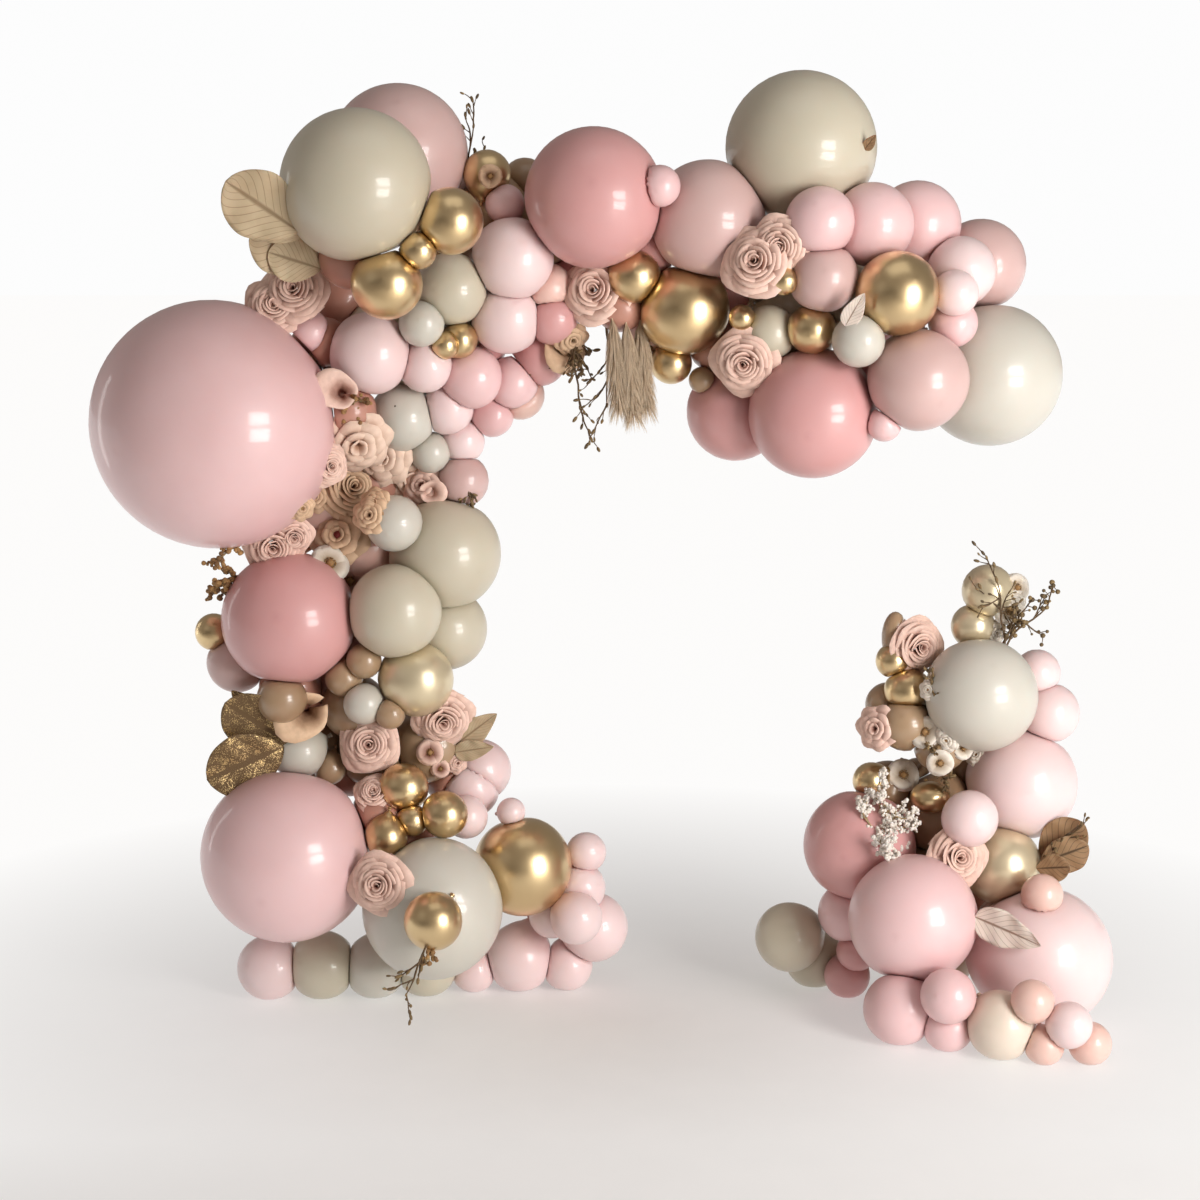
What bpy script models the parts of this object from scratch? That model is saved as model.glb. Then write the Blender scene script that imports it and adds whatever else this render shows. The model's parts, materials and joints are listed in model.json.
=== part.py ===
"""A garland balloon arch in two lengths: an arch that climbs from the floor on the left
and runs across the top, and a lower column that stands on the floor on the right.

Front is -Y, up is +Z, metres. The middle of the whole base is the origin.
"""

from collections import namedtuple

import bmesh
import bpy
import numpy as np
from mathutils import Vector

# Balloons are sold by their nominal size. These are the widths they are blown up to here.
FIVE_INCH = 0.12
NINE_INCH = 0.18
TWELVE_INCH = 0.27
EIGHTEEN_INCH = 0.46
# A full-blown paper rose
ROSE = 0.12

# Depth of the garland's layers, counted from the backdrop forward
LAYER = 0.07
# Two balloons that are tied together press flat on one another. The share is of the smaller one.
PRESS = 0.22
# The same for two balloons of one cluster, whose necks are knotted together
KNOT_PRESS = 0.40
# How far a balloon is flattened where it rests on the floor or the backdrop
FLAT = 0.004
# Air left between two pieces that press on one another
GAP = 0.0003

# Facets round and up a balloon, by the smallest radius that gets them
FACETS = ((0.16, (12, 8)), (0.10, (9, 6)), (0.06, (8, 4)), (0.0, (6, 4)))
# Share of a rose's radius at which it comes to rest on the balloons behind it
ROSE_SEAT = 0.6
# A rose from its calyx forward to its bud, as shares of its radius: out, forward
ROSE_TURN = (
    (0.60, -0.36),
    (1.00, 0.04),
    (0.78, 0.18),
    (0.74, 0.34),
    (0.46, 0.36),
    (0.40, 0.50),
)
ROSE_BACK = -0.50
ROSE_FRONT = 0.54
ROSE_SIDES = 6

# Rounds of settling, and how hard a balloon is drawn back to its own place in each:
# across and up firmly, forward hardly at all
ROUNDS = 300
HOME_PULL = np.array((0.04, 0.005, 0.04))
PUSH = 0.5
TIE_PULL = 0.7

# Base colour, metallic, roughness
FINISHES = {
    "blush": ((0.78, 0.40, 0.38), 0.0, 0.30),
    "rose": ((0.72, 0.30, 0.31), 0.0, 0.30),
    "pale": ((0.86, 0.56, 0.52), 0.0, 0.30),
    "mauve": ((0.76, 0.45, 0.44), 0.0, 0.30),
    "peach": ((0.87, 0.62, 0.50), 0.0, 0.32),
    "cream": ((0.79, 0.72, 0.60), 0.0, 0.32),
    "white": ((0.82, 0.80, 0.75), 0.0, 0.30),
    "pearl": ((0.83, 0.70, 0.50), 0.2, 0.30),
    "taupe": ((0.60, 0.44, 0.30), 0.0, 0.34),
    "gold": ((0.62, 0.40, 0.15), 1.0, 0.24),
    "paper": ((0.80, 0.55, 0.44), 0.0, 0.70),
}

# One balloon or rose: the layer it hangs in, its place across and up, its nominal size,
# how full it is blown, and whether it hangs in the garland or rests on the floor
Piece = namedtuple("Piece", "layer across up size full rests", defaults=("hangs",))
FLOOR = "floor"

# Each node is one balloon, or balloons of one colour tied into one cluster at their necks.
ARCH = (
    ("balloon_blush_left_foot", "blush", (
        Piece(1, -0.65, 0.35, EIGHTEEN_INCH, 0.75),
    )),
    ("balloons_cream_floor", "cream", (
        Piece(1, -0.46, 0.06, NINE_INCH, 0.75, FLOOR),
        Piece(1, -0.36, 0.06, NINE_INCH, 0.75, FLOOR),
        Piece(1, -0.62, 0.07, NINE_INCH, 0.80, FLOOR),
        Piece(1, -0.76, 0.06, NINE_INCH, 0.75, FLOOR),
    )),
    ("balloons_pale_left_foot", "pale", (
        Piece(0, -0.28, 0.04, FIVE_INCH, 0.80, FLOOR),
        Piece(0, -0.17, 0.07, NINE_INCH, 0.80, FLOOR),
        Piece(0, -0.05, 0.05, FIVE_INCH, 0.90, FLOOR),
        Piece(1, -0.10, 0.18, FIVE_INCH, 0.80),
        Piece(1, -0.04, 0.25, FIVE_INCH, 0.90),
        Piece(1, -0.03, 0.31, FIVE_INCH, 0.70),
        Piece(0, 0.02, 0.16, NINE_INCH, 0.80),
        Piece(2, -0.05, 0.19, FIVE_INCH, 0.90),
    )),
    ("balloon_gold_left_foot", "gold", (
        Piece(1, -0.17, 0.30, TWELVE_INCH, 0.75),
    )),
    ("balloon_cream_left_foot", "cream", (
        Piece(2, -0.35, 0.24, TWELVE_INCH, 1.05),
    )),
    ("balloon_gold_foot_front", "gold", (
        Piece(6, -0.33, 0.27, FIVE_INCH, 0.95),
    )),
    ("balloons_pale_foot_top", "pale", (
        Piece(0, -0.27, 0.44, FIVE_INCH, 1.00),
        Piece(2, -0.28, 0.40, FIVE_INCH, 0.75),
    )),
    ("balloon_white_left_foot", "white", (
        Piece(2, -0.63, 0.53, FIVE_INCH, 0.95),
    )),
    ("balloons_gold_foot", "gold", (
        Piece(2, -0.41, 0.48, FIVE_INCH, 0.85),
        Piece(3, -0.39, 0.41, FIVE_INCH, 0.55),
        Piece(3, -0.43, 0.39, FIVE_INCH, 0.75),
        Piece(3, -0.32, 0.43, FIVE_INCH, 0.80),
    )),
    ("balloons_taupe_waist", "taupe", (
        Piece(0, -0.60, 0.52, NINE_INCH, 0.75),
        Piece(0, -0.48, 0.50, NINE_INCH, 0.80),
        Piece(0, -0.36, 0.55, NINE_INCH, 0.90),
        Piece(1, -0.52, 0.65, NINE_INCH, 0.75),
        Piece(3, -0.54, 0.70, FIVE_INCH, 0.65),
        Piece(3, -0.48, 0.74, FIVE_INCH, 0.60),
    )),
    ("balloons_cream_column", "cream", (
        Piece(0, -0.33, 0.75, NINE_INCH, 0.95),
        Piece(0, -0.33, 0.96, TWELVE_INCH, 0.85),
        Piece(2, -0.42, 0.84, NINE_INCH, 1.05),
        Piece(2, -0.42, 1.03, FIVE_INCH, 0.95),
    )),
    ("balloon_pearl_column", "pearl", (
        Piece(1, -0.38, 0.72, NINE_INCH, 0.85),
    )),
    ("balloons_rose_column", "rose", (
        Piece(1, -0.63, 0.82, TWELVE_INCH, 1.00),
        Piece(0, -0.78, 0.71, FIVE_INCH, 1.00),
    )),
    ("balloons_peach_column_back", "peach", (
        Piece(0, -0.49, 0.97, NINE_INCH, 0.85),
        Piece(0, -0.57, 1.06, NINE_INCH, 0.85),
    )),
    ("balloon_blush_giant", "blush", (
        Piece(0, -0.78, 1.24, EIGHTEEN_INCH, 1.05),
    )),
    ("balloons_white_column", "white", (
        Piece(0, -0.27, 1.12, FIVE_INCH, 0.90),
        Piece(0, -0.31, 1.22, FIVE_INCH, 0.80),
        Piece(1, -0.35, 1.16, FIVE_INCH, 0.70),
        Piece(1, -0.41, 1.24, NINE_INCH, 0.75),
    )),
    ("balloons_blush_corner", "blush", (
        Piece(1, -0.26, 1.32, FIVE_INCH, 1.05),
        Piece(0, -0.22, 1.23, FIVE_INCH, 0.75),
        Piece(0, -0.15, 1.33, FIVE_INCH, 0.90),
    )),
    ("balloons_cream_corner", "cream", (
        Piece(0, -0.37, 1.32, NINE_INCH, 0.75),
        Piece(0, -0.47, 1.42, NINE_INCH, 0.85),
        Piece(0, -0.30, 1.44, NINE_INCH, 0.80),
        Piece(2, -0.29, 1.51, NINE_INCH, 0.80),
        Piece(3, -0.36, 1.43, FIVE_INCH, 0.75),
    )),
    ("balloons_taupe_top_back", "taupe", (
        Piece(0, -0.33, 1.59, NINE_INCH, 0.90),
        Piece(0, -0.21, 1.67, NINE_INCH, 0.80),
        Piece(0, -0.11, 1.61, NINE_INCH, 0.85),
    )),
    ("balloon_mauve_top_left", "mauve", (
        Piece(0, -0.41, 1.77, TWELVE_INCH, 1.00),
    )),
    ("balloon_cream_top_left", "cream", (
        Piece(2, -0.46, 1.70, TWELVE_INCH, 1.05),
    )),
    ("balloons_pale_corner", "pale", (
        Piece(2, -0.48, 1.38, NINE_INCH, 0.90),
        Piece(2, -0.35, 1.35, FIVE_INCH, 0.90),
    )),
    ("balloons_gold_corner", "gold", (
        Piece(4, -0.42, 1.52, NINE_INCH, 0.75),
        Piece(5, -0.35, 1.59, FIVE_INCH, 0.60),
        Piece(4, -0.29, 1.64, NINE_INCH, 0.70),
    )),
    ("balloons_pale_top", "pale", (
        Piece(1, -0.19, 1.43, NINE_INCH, 0.80),
        Piece(1, -0.17, 1.58, NINE_INCH, 0.90),
    )),
    ("balloon_rose_top", "rose", (
        Piece(1, -0.02, 1.69, TWELVE_INCH, 1.00),
    )),
    ("balloon_mauve_top_middle", "mauve", (
        Piece(1, 0.22, 1.65, TWELVE_INCH, 0.85),
    )),
    ("balloons_rose_span", "rose", (
        Piece(0, 0.28, 1.25, NINE_INCH, 1.10),
        Piece(1, 0.43, 1.26, TWELVE_INCH, 0.95),
    )),
    ("balloons_gold_middle", "gold", (
        Piece(1, 0.19, 1.45, NINE_INCH, 1.00),
        Piece(2, 0.07, 1.53, FIVE_INCH, 0.90),
        Piece(1, 0.14, 1.33, FIVE_INCH, 0.70),
    )),
    ("balloons_cream_span", "cream", (
        Piece(0, 0.35, 1.54, NINE_INCH, 0.85),
        Piece(0, 0.39, 1.41, NINE_INCH, 0.95),
        Piece(0, 0.54, 1.48, NINE_INCH, 0.95),
        Piece(3, 0.34, 1.43, FIVE_INCH, 0.90),
    )),
    ("balloon_cream_top_right", "cream", (
        Piece(0, 0.40, 1.78, TWELVE_INCH, 1.10),
    )),
    ("balloon_white_end", "white", (
        Piece(0, 0.79, 1.33, TWELVE_INCH, 1.05),
    )),
    ("balloons_mauve_end", "mauve", (
        Piece(0, 0.78, 1.55, NINE_INCH, 1.00),
        Piece(2, 0.72, 1.54, NINE_INCH, 0.75),
        Piece(3, 0.69, 1.48, FIVE_INCH, 0.75),
        Piece(3, 0.70, 1.44, FIVE_INCH, 0.80),
    )),
    ("balloons_blush_row", "blush", (
        Piece(1, 0.64, 1.63, NINE_INCH, 0.95),
        Piece(2, 0.54, 1.63, NINE_INCH, 0.90),
        Piece(3, 0.44, 1.65, NINE_INCH, 0.75),
        Piece(3, 0.44, 1.52, NINE_INCH, 0.75),
    )),
    ("balloon_gold_span", "gold", (
        Piece(3, 0.59, 1.50, NINE_INCH, 0.90),
    )),
    ("balloon_mauve_span", "mauve", (
        Piece(2, 0.64, 1.33, NINE_INCH, 1.10),
    )),
    ("balloon_gold_span_small", "gold", (
        Piece(3, 0.42, 1.42, FIVE_INCH, 0.80),
    )),
    ("balloon_white_span", "white", (
        Piece(4, 0.50, 1.40, FIVE_INCH, 0.85),
    )),
    ("roses_corner", "paper", (
        Piece(3, -0.57, 1.53, ROSE, 1.00),
        Piece(3, -0.66, 1.50, ROSE, 0.85),
    )),
    ("roses_column", "paper", (
        Piece(3, -0.66, 0.98, ROSE, 0.95),
        Piece(3, -0.59, 1.02, ROSE, 0.60),
    )),
    ("rose_waist_left", "paper", (
        Piece(2, -0.48, 0.57, ROSE, 0.95),
    )),
    ("rose_waist_right", "paper", (
        Piece(2, -0.33, 0.62, ROSE, 0.95),
    )),
    ("rose_foot", "paper", (
        Piece(4, -0.43, 0.31, ROSE, 0.95),
    )),
    ("rose_middle", "paper", (
        Piece(2, -0.04, 1.49, ROSE, 1.05),
    )),
    ("roses_span", "paper", (
        Piece(4, 0.28, 1.54, ROSE, 1.05),
        Piece(4, 0.36, 1.60, ROSE, 0.90),
    )),
    ("rose_span_low", "paper", (
        Piece(4, 0.27, 1.34, ROSE, 1.00),
    )),
)

COLUMN = (
    ("balloon_pale_right_giant", "pale", (
        Piece(2, 0.91, 0.14, TWELVE_INCH, 1.05, FLOOR),
    )),
    ("balloons_cream_right_foot", "cream", (
        Piece(0, 0.42, 0.11, NINE_INCH, 0.80),
        Piece(0, 0.45, 0.06, FIVE_INCH, 1.00, FLOOR),
    )),
    ("balloons_taupe_right_back", "taupe", (
        Piece(0, 0.71, 0.09, NINE_INCH, 1.10, FLOOR),
        Piece(0, 0.71, 0.29, NINE_INCH, 1.00),
        Piece(0, 0.74, 0.45, NINE_INCH, 1.00),
    )),
    ("balloons_rose_right", "rose", (
        Piece(1, 0.53, 0.37, TWELVE_INCH, 0.85),
        Piece(1, 0.53, 0.04, FIVE_INCH, 0.80, FLOOR),
        Piece(1, 0.52, 0.17, FIVE_INCH, 1.00),
        Piece(2, 0.55, 0.10, FIVE_INCH, 0.70),
    )),
    ("balloon_mauve_right", "mauve", (
        Piece(0, 0.88, 0.46, TWELVE_INCH, 0.85),
    )),
    ("balloon_white_right", "white", (
        Piece(1, 0.80, 0.67, TWELVE_INCH, 0.85),
    )),
    ("balloon_pearl_right", "pearl", (
        Piece(2, 0.84, 0.30, NINE_INCH, 0.90),
    )),
    ("balloon_blush_right", "blush", (
        Piece(3, 0.64, 0.23, TWELVE_INCH, 0.95),
    )),
    ("balloons_blush_right_foot", "blush", (
        Piece(4, 0.59, 0.07, NINE_INCH, 0.80, FLOOR),
        Piece(6, 0.70, 0.05, FIVE_INCH, 0.85, FLOOR),
        Piece(6, 0.69, 0.12, FIVE_INCH, 0.90),
    )),
    ("balloons_peach_right_foot", "peach", (
        Piece(6, 0.80, 0.06, NINE_INCH, 0.75, FLOOR),
        Piece(7, 0.88, 0.04, FIVE_INCH, 0.65, FLOOR),
        Piece(7, 0.95, 0.04, FIVE_INCH, 0.70, FLOOR),
        Piece(7, 0.85, 0.13, FIVE_INCH, 0.70),
        Piece(7, 0.94, 0.08, FIVE_INCH, 0.75),
    )),
    ("balloon_pale_right_small", "pale", (
        Piece(3, 0.76, 0.44, FIVE_INCH, 0.95),
    )),
    ("balloons_pale_right_side", "pale", (
        Piece(1, 0.96, 0.61, FIVE_INCH, 1.00),
        Piece(1, 0.90, 0.73, FIVE_INCH, 0.80),
    )),
    ("balloons_gold_right_tip", "gold", (
        Piece(1, 0.63, 0.66, FIVE_INCH, 0.80),
        Piece(1, 0.61, 0.74, FIVE_INCH, 0.60),
    )),
    ("balloons_pearl_tip", "pearl", (
        Piece(1, 0.78, 0.80, FIVE_INCH, 0.75),
        Piece(1, 0.81, 0.88, FIVE_INCH, 0.90),
    )),
    ("rose_right", "paper", (
        Piece(4, 0.73, 0.34, ROSE, 0.95),
    )),
)


def clear_scene():
    for thing in list(bpy.data.objects):
        bpy.data.objects.remove(thing, do_unlink=True)


class Garland:
    """Every balloon and rose of both lengths, and where each comes to rest."""

    def __init__(self, lengths):
        self.nodes = []
        self.pieces = []
        self.node_of = []
        self.length_of = []
        for length, rows in enumerate(lengths):
            for name, finish, pieces in rows:
                for piece in pieces:
                    self.pieces.append(piece)
                    self.node_of.append(len(self.nodes))
                    self.length_of.append(length)
                self.nodes.append((name, finish))
        self.node_of = np.array(self.node_of)
        self.length_of = np.array(self.length_of)
        self.is_rose = np.array([self.nodes[node][1] == "paper" for node in self.node_of])
        self.on_floor = np.array([piece.rests == FLOOR for piece in self.pieces])
        self.radius = np.array([piece.size * piece.full / 2 for piece in self.pieces])
        self.seat = np.where(self.is_rose, self.radius * ROSE_SEAT, self.radius)
        smaller = np.minimum(self.seat[:, None], self.seat[None, :])
        self.mates = self.node_of[:, None] == self.node_of[None, :]
        press = np.where(self.mates, KNOT_PRESS, PRESS)
        self.reach = self.seat[:, None] + self.seat[None, :] - press * smaller
        self.home = np.array([
            (piece.across, -seat - piece.layer * LAYER, piece.up)
            for piece, seat in zip(self.pieces, self.seat)
        ])

    def ties(self):
        """Pairs that are tied together: the shortest set of ties that holds each length in one,
        with the balloons of one cluster tied to each other first."""
        apart = np.linalg.norm(self.home[:, None] - self.home[None, :], axis=2) - self.reach
        cost = apart - self.mates * 1.0
        pairs = []
        for length in np.unique(self.length_of):
            loose = list(np.flatnonzero(self.length_of == length))
            nearest = {piece: loose[0] for piece in loose}
            loose.pop(0)
            while loose:
                piece = min(loose, key=lambda each: cost[each, nearest[each]])
                pairs.append((nearest[piece], piece))
                loose.remove(piece)
                for other in loose:
                    if cost[other, piece] < cost[other, nearest[other]]:
                        nearest[other] = piece
        return np.array(pairs)

    def settle(self):
        """Move the balloons until those that are tied touch and none presses too deep."""
        place = self.home.copy()
        first, second = self.ties().T
        share = self.seat[None, :] / (self.seat[:, None] + self.seat[None, :])
        for turn in range(ROUNDS):
            offset = place[:, None] - place[None, :]
            distance = np.linalg.norm(offset, axis=2)
            np.fill_diagonal(distance, 1.0)
            too_near = np.clip(self.reach - distance, 0.0, None)
            np.fill_diagonal(too_near, 0.0)
            push = offset / distance[..., None] * (too_near * share)[..., None]
            move = PUSH * push.sum(axis=1)
            tie = place[second] - place[first]
            length = np.linalg.norm(tie, axis=1)
            slack = np.clip(length - self.reach[first, second], 0.0, None)
            pull = TIE_PULL * tie / length[:, None] * slack[:, None]
            np.add.at(move, first, pull * share[first, second][:, None])
            np.add.at(move, second, -pull * share[second, first][:, None])
            homeward = (self.home - place) * HOME_PULL * (1 - turn / ROUNDS)
            place = place + move + homeward
            place[:, 1] = np.minimum(place[:, 1], FLAT - self.seat)
            lowest = self.seat - FLAT
            place[:, 2] = np.where(self.on_floor, lowest, np.maximum(place[:, 2], lowest))
        return place


def facets_for(radius):
    """How many facets a balloon of this radius has round and up."""
    return next(facets for smallest, facets in FACETS if radius > smallest)


def corner_radius(radius):
    """How far out a faceted ball's corners stand, so that its flat sides average the radius."""
    segments, rings = facets_for(radius)
    return radius * 2 / (1 + np.cos(np.pi / segments))


def balloon_ball(radius):
    """A faceted ball of this radius."""
    segments, rings = facets_for(radius)
    ball = bmesh.new()
    bmesh.ops.create_uvsphere(ball, u_segments=segments, v_segments=rings,
                              radius=corner_radius(radius))
    return ball


def rose_head(radius):
    """A rose that looks forward: rings of petals that step up to the bud."""
    rose = bmesh.new()
    rings = []
    for out, forward in ROSE_TURN:
        ring = []
        for side in range(ROSE_SIDES):
            angle = 2 * np.pi * side / ROSE_SIDES
            width = radius * out
            ring.append(rose.verts.new((width * np.cos(angle), -radius * forward,
                                        width * np.sin(angle))))
        rings.append(ring)
    back = rose.verts.new((0.0, -radius * ROSE_BACK, 0.0))
    front = rose.verts.new((0.0, -radius * ROSE_FRONT, 0.0))
    for side in range(ROSE_SIDES):
        after = (side + 1) % ROSE_SIDES
        rose.faces.new((back, rings[0][side], rings[0][after]))
        rose.faces.new((front, rings[-1][after], rings[-1][side]))
        for inner, outer in zip(rings, rings[1:]):
            rose.faces.new((inner[side], outer[side], outer[after], inner[after]))
    bmesh.ops.recalc_face_normals(rose, faces=rose.faces)
    return rose


def press_flat(solid, point, outward):
    """Cut off what lies beyond the plane, and close the solid with a flat face."""
    bmesh.ops.bisect_plane(solid, geom=solid.verts[:] + solid.edges[:] + solid.faces[:],
                           dist=1e-6, plane_co=point, plane_no=outward, clear_outer=True)
    rim = [edge for edge in solid.edges if edge.is_boundary]
    if rim:
        bmesh.ops.holes_fill(solid, edges=rim, sides=0)


def pressed_solid(garland, place, index):
    """One balloon or rose about its own centre, flattened by its neighbours of other nodes,
    by the floor and by the backdrop."""
    radius = garland.radius[index]
    solid = rose_head(radius) if garland.is_rose[index] else balloon_ball(radius)
    centre = place[index]
    for other in range(len(place)):
        if garland.node_of[other] == garland.node_of[index]:
            continue
        toward = place[other] - centre
        distance = np.linalg.norm(toward)
        if distance > corner_radius(radius) + corner_radius(garland.radius[other]) + GAP:
            continue
        toward = toward / distance
        near, far = garland.seat[index], garland.seat[other]
        meet = (distance ** 2 + near ** 2 - far ** 2) / (2 * distance)
        press_flat(solid, Vector(toward * (meet - GAP / 2)), Vector(toward))
    if centre[2] < corner_radius(radius):
        press_flat(solid, Vector((0, 0, -centre[2])), Vector((0, 0, -1)))
    if centre[1] > -corner_radius(radius):
        press_flat(solid, Vector((0, -centre[1], 0)), Vector((0, 1, 0)))
    bmesh.ops.recalc_face_normals(solid, faces=solid.faces)
    return solid


def finish_material(name):
    colour, metallic, roughness = FINISHES[name]
    material = bpy.data.materials.new(name)
    material.use_nodes = True
    shader = material.node_tree.nodes["Principled BSDF"]
    shader.inputs["Base Color"].default_value = (*colour, 1.0)
    shader.inputs["Metallic"].default_value = metallic
    shader.inputs["Roughness"].default_value = roughness
    material.diffuse_color = (*colour, 1.0)
    return material


def as_object(name, solid, location, material):
    mesh = bpy.data.meshes.new(name)
    solid.to_mesh(mesh)
    solid.free()
    mesh.shade_smooth()
    mesh.set_sharp_from_angle(angle=np.radians(50))
    mesh.materials.append(material)
    thing = bpy.data.objects.new(name, mesh)
    thing.location = location
    bpy.context.scene.collection.objects.link(thing)
    return thing


def tie_to(body, mate):
    """Fuse a cluster mate into its node, and leave the mate itself as a hidden guide."""
    fuse = body.modifiers.new(mate.name, "BOOLEAN")
    fuse.operation = "UNION"
    fuse.solver = "EXACT"
    fuse.object = mate
    mate.hide_render = True
    mate.display_type = "WIRE"


def base_centre(solids, place):
    """The middle of the box around every piece, at floor level."""
    points = [np.array(vert.co) + place[index]
              for index, solid in enumerate(solids) for vert in solid.verts]
    low = np.min(points, axis=0)
    high = np.max(points, axis=0)
    return np.array(((low[0] + high[0]) / 2, (low[1] + high[1]) / 2, low[2]))


def main():
    clear_scene()
    garland = Garland((ARCH, COLUMN))
    place = garland.settle()
    solids = [pressed_solid(garland, place, index) for index in range(len(place))]
    place = place - base_centre(solids, place)
    materials = {name: finish_material(name) for name in FINISHES}
    arch = bpy.data.objects.new("balloon_arch", None)
    bpy.context.scene.collection.objects.link(arch)
    for node, (name, finish) in enumerate(garland.nodes):
        members = list(np.flatnonzero(garland.node_of == node))
        body = as_object(name, solids[members[0]], place[members[0]], materials[finish])
        body.parent = arch
        for count, member in enumerate(members[1:], start=2):
            mate = as_object(f"{name}_guide_{count}", solids[member], place[member],
                             materials[finish])
            mate.parent = arch
            tie_to(body, mate)


main()
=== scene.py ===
# %% [markdown]
# The part is a garland balloon arch in two lengths. Its packed model gives every balloon as a
# plain faceted ball. This script dresses that model: it loads it as a fixed frame, keeps its box,
# and puts smooth latex, folded paper and dried flowers exactly where the frame has its solids.

# %% Load the frame
import json
import math

import bpy
import numpy as np
from mathutils import Matrix, Vector


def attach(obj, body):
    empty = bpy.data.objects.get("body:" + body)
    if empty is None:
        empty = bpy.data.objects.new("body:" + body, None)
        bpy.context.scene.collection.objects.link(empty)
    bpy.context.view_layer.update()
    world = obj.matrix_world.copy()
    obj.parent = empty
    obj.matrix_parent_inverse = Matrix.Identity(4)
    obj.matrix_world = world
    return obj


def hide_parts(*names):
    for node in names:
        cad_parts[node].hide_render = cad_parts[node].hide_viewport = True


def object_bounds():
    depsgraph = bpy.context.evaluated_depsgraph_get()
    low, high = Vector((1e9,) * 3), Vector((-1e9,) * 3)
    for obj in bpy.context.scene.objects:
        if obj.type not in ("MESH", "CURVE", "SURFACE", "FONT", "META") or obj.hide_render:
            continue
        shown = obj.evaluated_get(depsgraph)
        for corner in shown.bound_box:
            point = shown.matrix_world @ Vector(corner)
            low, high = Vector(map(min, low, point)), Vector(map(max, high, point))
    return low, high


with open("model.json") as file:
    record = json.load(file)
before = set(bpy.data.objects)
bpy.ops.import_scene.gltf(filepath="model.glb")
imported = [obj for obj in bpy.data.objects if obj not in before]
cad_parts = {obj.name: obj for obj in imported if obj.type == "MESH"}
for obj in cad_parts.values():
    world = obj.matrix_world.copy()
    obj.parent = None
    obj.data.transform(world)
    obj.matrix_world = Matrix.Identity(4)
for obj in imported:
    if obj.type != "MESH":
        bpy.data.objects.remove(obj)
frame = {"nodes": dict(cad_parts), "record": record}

cad_box = [list(corner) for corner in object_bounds()]
print("frame box", cad_box)

# %% [markdown]
# The picture was taken by a person who stands in front of the arch, with the camera at chest
# height and tipped down a little. A real camera is set by its place, its tilt and its lens, so
# these three are named here, and the same numbers turn a pixel of the picture into a ray later.

# %% Camera
CAMERA_AT = Vector((-0.0192, -4.3073, 1.60))
CAMERA_DOWN = math.radians(9.4)
SENSOR = 36.0
PICTURE = 1200
FOCAL_PIXELS = 2175.0

camera = bpy.data.objects.new("camera", bpy.data.cameras.new("camera"))
bpy.context.scene.collection.objects.link(camera)
camera.data.sensor_width = SENSOR
camera.data.lens = SENSOR * FOCAL_PIXELS / PICTURE
camera.location = CAMERA_AT
camera.rotation_euler = (math.radians(90) - CAMERA_DOWN, 0.0, 0.0)
bpy.context.scene.camera = camera
print("lens", round(camera.data.lens, 2), "mm")


# %% From a pixel to a ray and back
def ray(across, down):
    """The direction from the camera through a pixel of the picture."""
    right = (across - PICTURE / 2) / FOCAL_PIXELS
    up = (PICTURE / 2 - down) / FOCAL_PIXELS
    direction = Vector((
        right,
        math.cos(CAMERA_DOWN) + up * math.sin(CAMERA_DOWN),
        up * math.cos(CAMERA_DOWN) - math.sin(CAMERA_DOWN),
    ))
    return direction.normalized()


def pixel(place):
    """The pixel of the picture at which a place shows."""
    offset = Vector(place) - CAMERA_AT
    depth = offset.y * math.cos(CAMERA_DOWN) - offset.z * math.sin(CAMERA_DOWN)
    up = offset.y * math.sin(CAMERA_DOWN) + offset.z * math.cos(CAMERA_DOWN)
    middle = PICTURE / 2
    return middle + FOCAL_PIXELS * offset.x / depth, middle - FOCAL_PIXELS * up / depth


print("the origin shows at pixel", [round(number) for number in pixel((0, 0, 0))])

# %% [markdown]
# The arch stood in a bright room beside a large window, which is why every balloon has a soft
# pale patch low on its right side. Two area lamps, one above the other like the window's panes,
# draw that patch from the right. Three weak ones keep the left side and the top from going dull.

# %% Light
WINDOW_WATTS = 75.0
FILL_WATTS = 2.0
FAR_LEFT_WATTS = 7.0
TOP_WATTS = 12.0
PANE = (1.5, 0.85)
# name, place, height of the point it faces, its width and height, watts, tint
LAMPS = (
    ("pane_low", (2.7, -3.0, 0.85), 1.1, PANE, WINDOW_WATTS, (1.0, 0.98, 0.96)),
    ("pane_high", (2.7, -3.0, 1.95), 1.1, PANE, WINDOW_WATTS, (1.0, 0.98, 0.97)),
    ("fill_left", (-3.2, -2.6, 2.8), 0.9, (2.0, 2.0), FILL_WATTS, (0.95, 0.97, 1.0)),
    ("far_left", (-3.6, 1.4, 1.2), 1.0, (0.35, 2.2), FAR_LEFT_WATTS, (1.0, 0.98, 0.96)),
    ("top_soft", (0.4, -1.0, 4.6), 1.0, (3.0, 2.0), TOP_WATTS, (1.0, 0.99, 0.97)),
)
for name, place, aim, size, watts, tint in LAMPS:
    lamp = bpy.data.lights.new(name, "AREA")
    lamp.shape = "RECTANGLE"
    lamp.size, lamp.size_y = size
    lamp.energy = watts
    lamp.color = tint
    hung = bpy.data.objects.new(name, lamp)
    bpy.context.scene.collection.objects.link(hung)
    hung.location = place
    hung.rotation_euler = (Vector((0, 0, aim)) - Vector(place)).to_track_quat("-Z", "Y").to_euler()

bpy.context.scene.view_settings.view_transform = "Standard"
print("lamps", [lamp[0] for lamp in LAMPS])

# %% [markdown]
# A finish is a network of shader nodes. Wiring them by hand hides what is worked out, so one small
# class holds a wire and lets plain Python maths add the Math nodes. Everything else comes from
# one method, which takes the node's type, its settings and what goes into its sockets.


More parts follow.
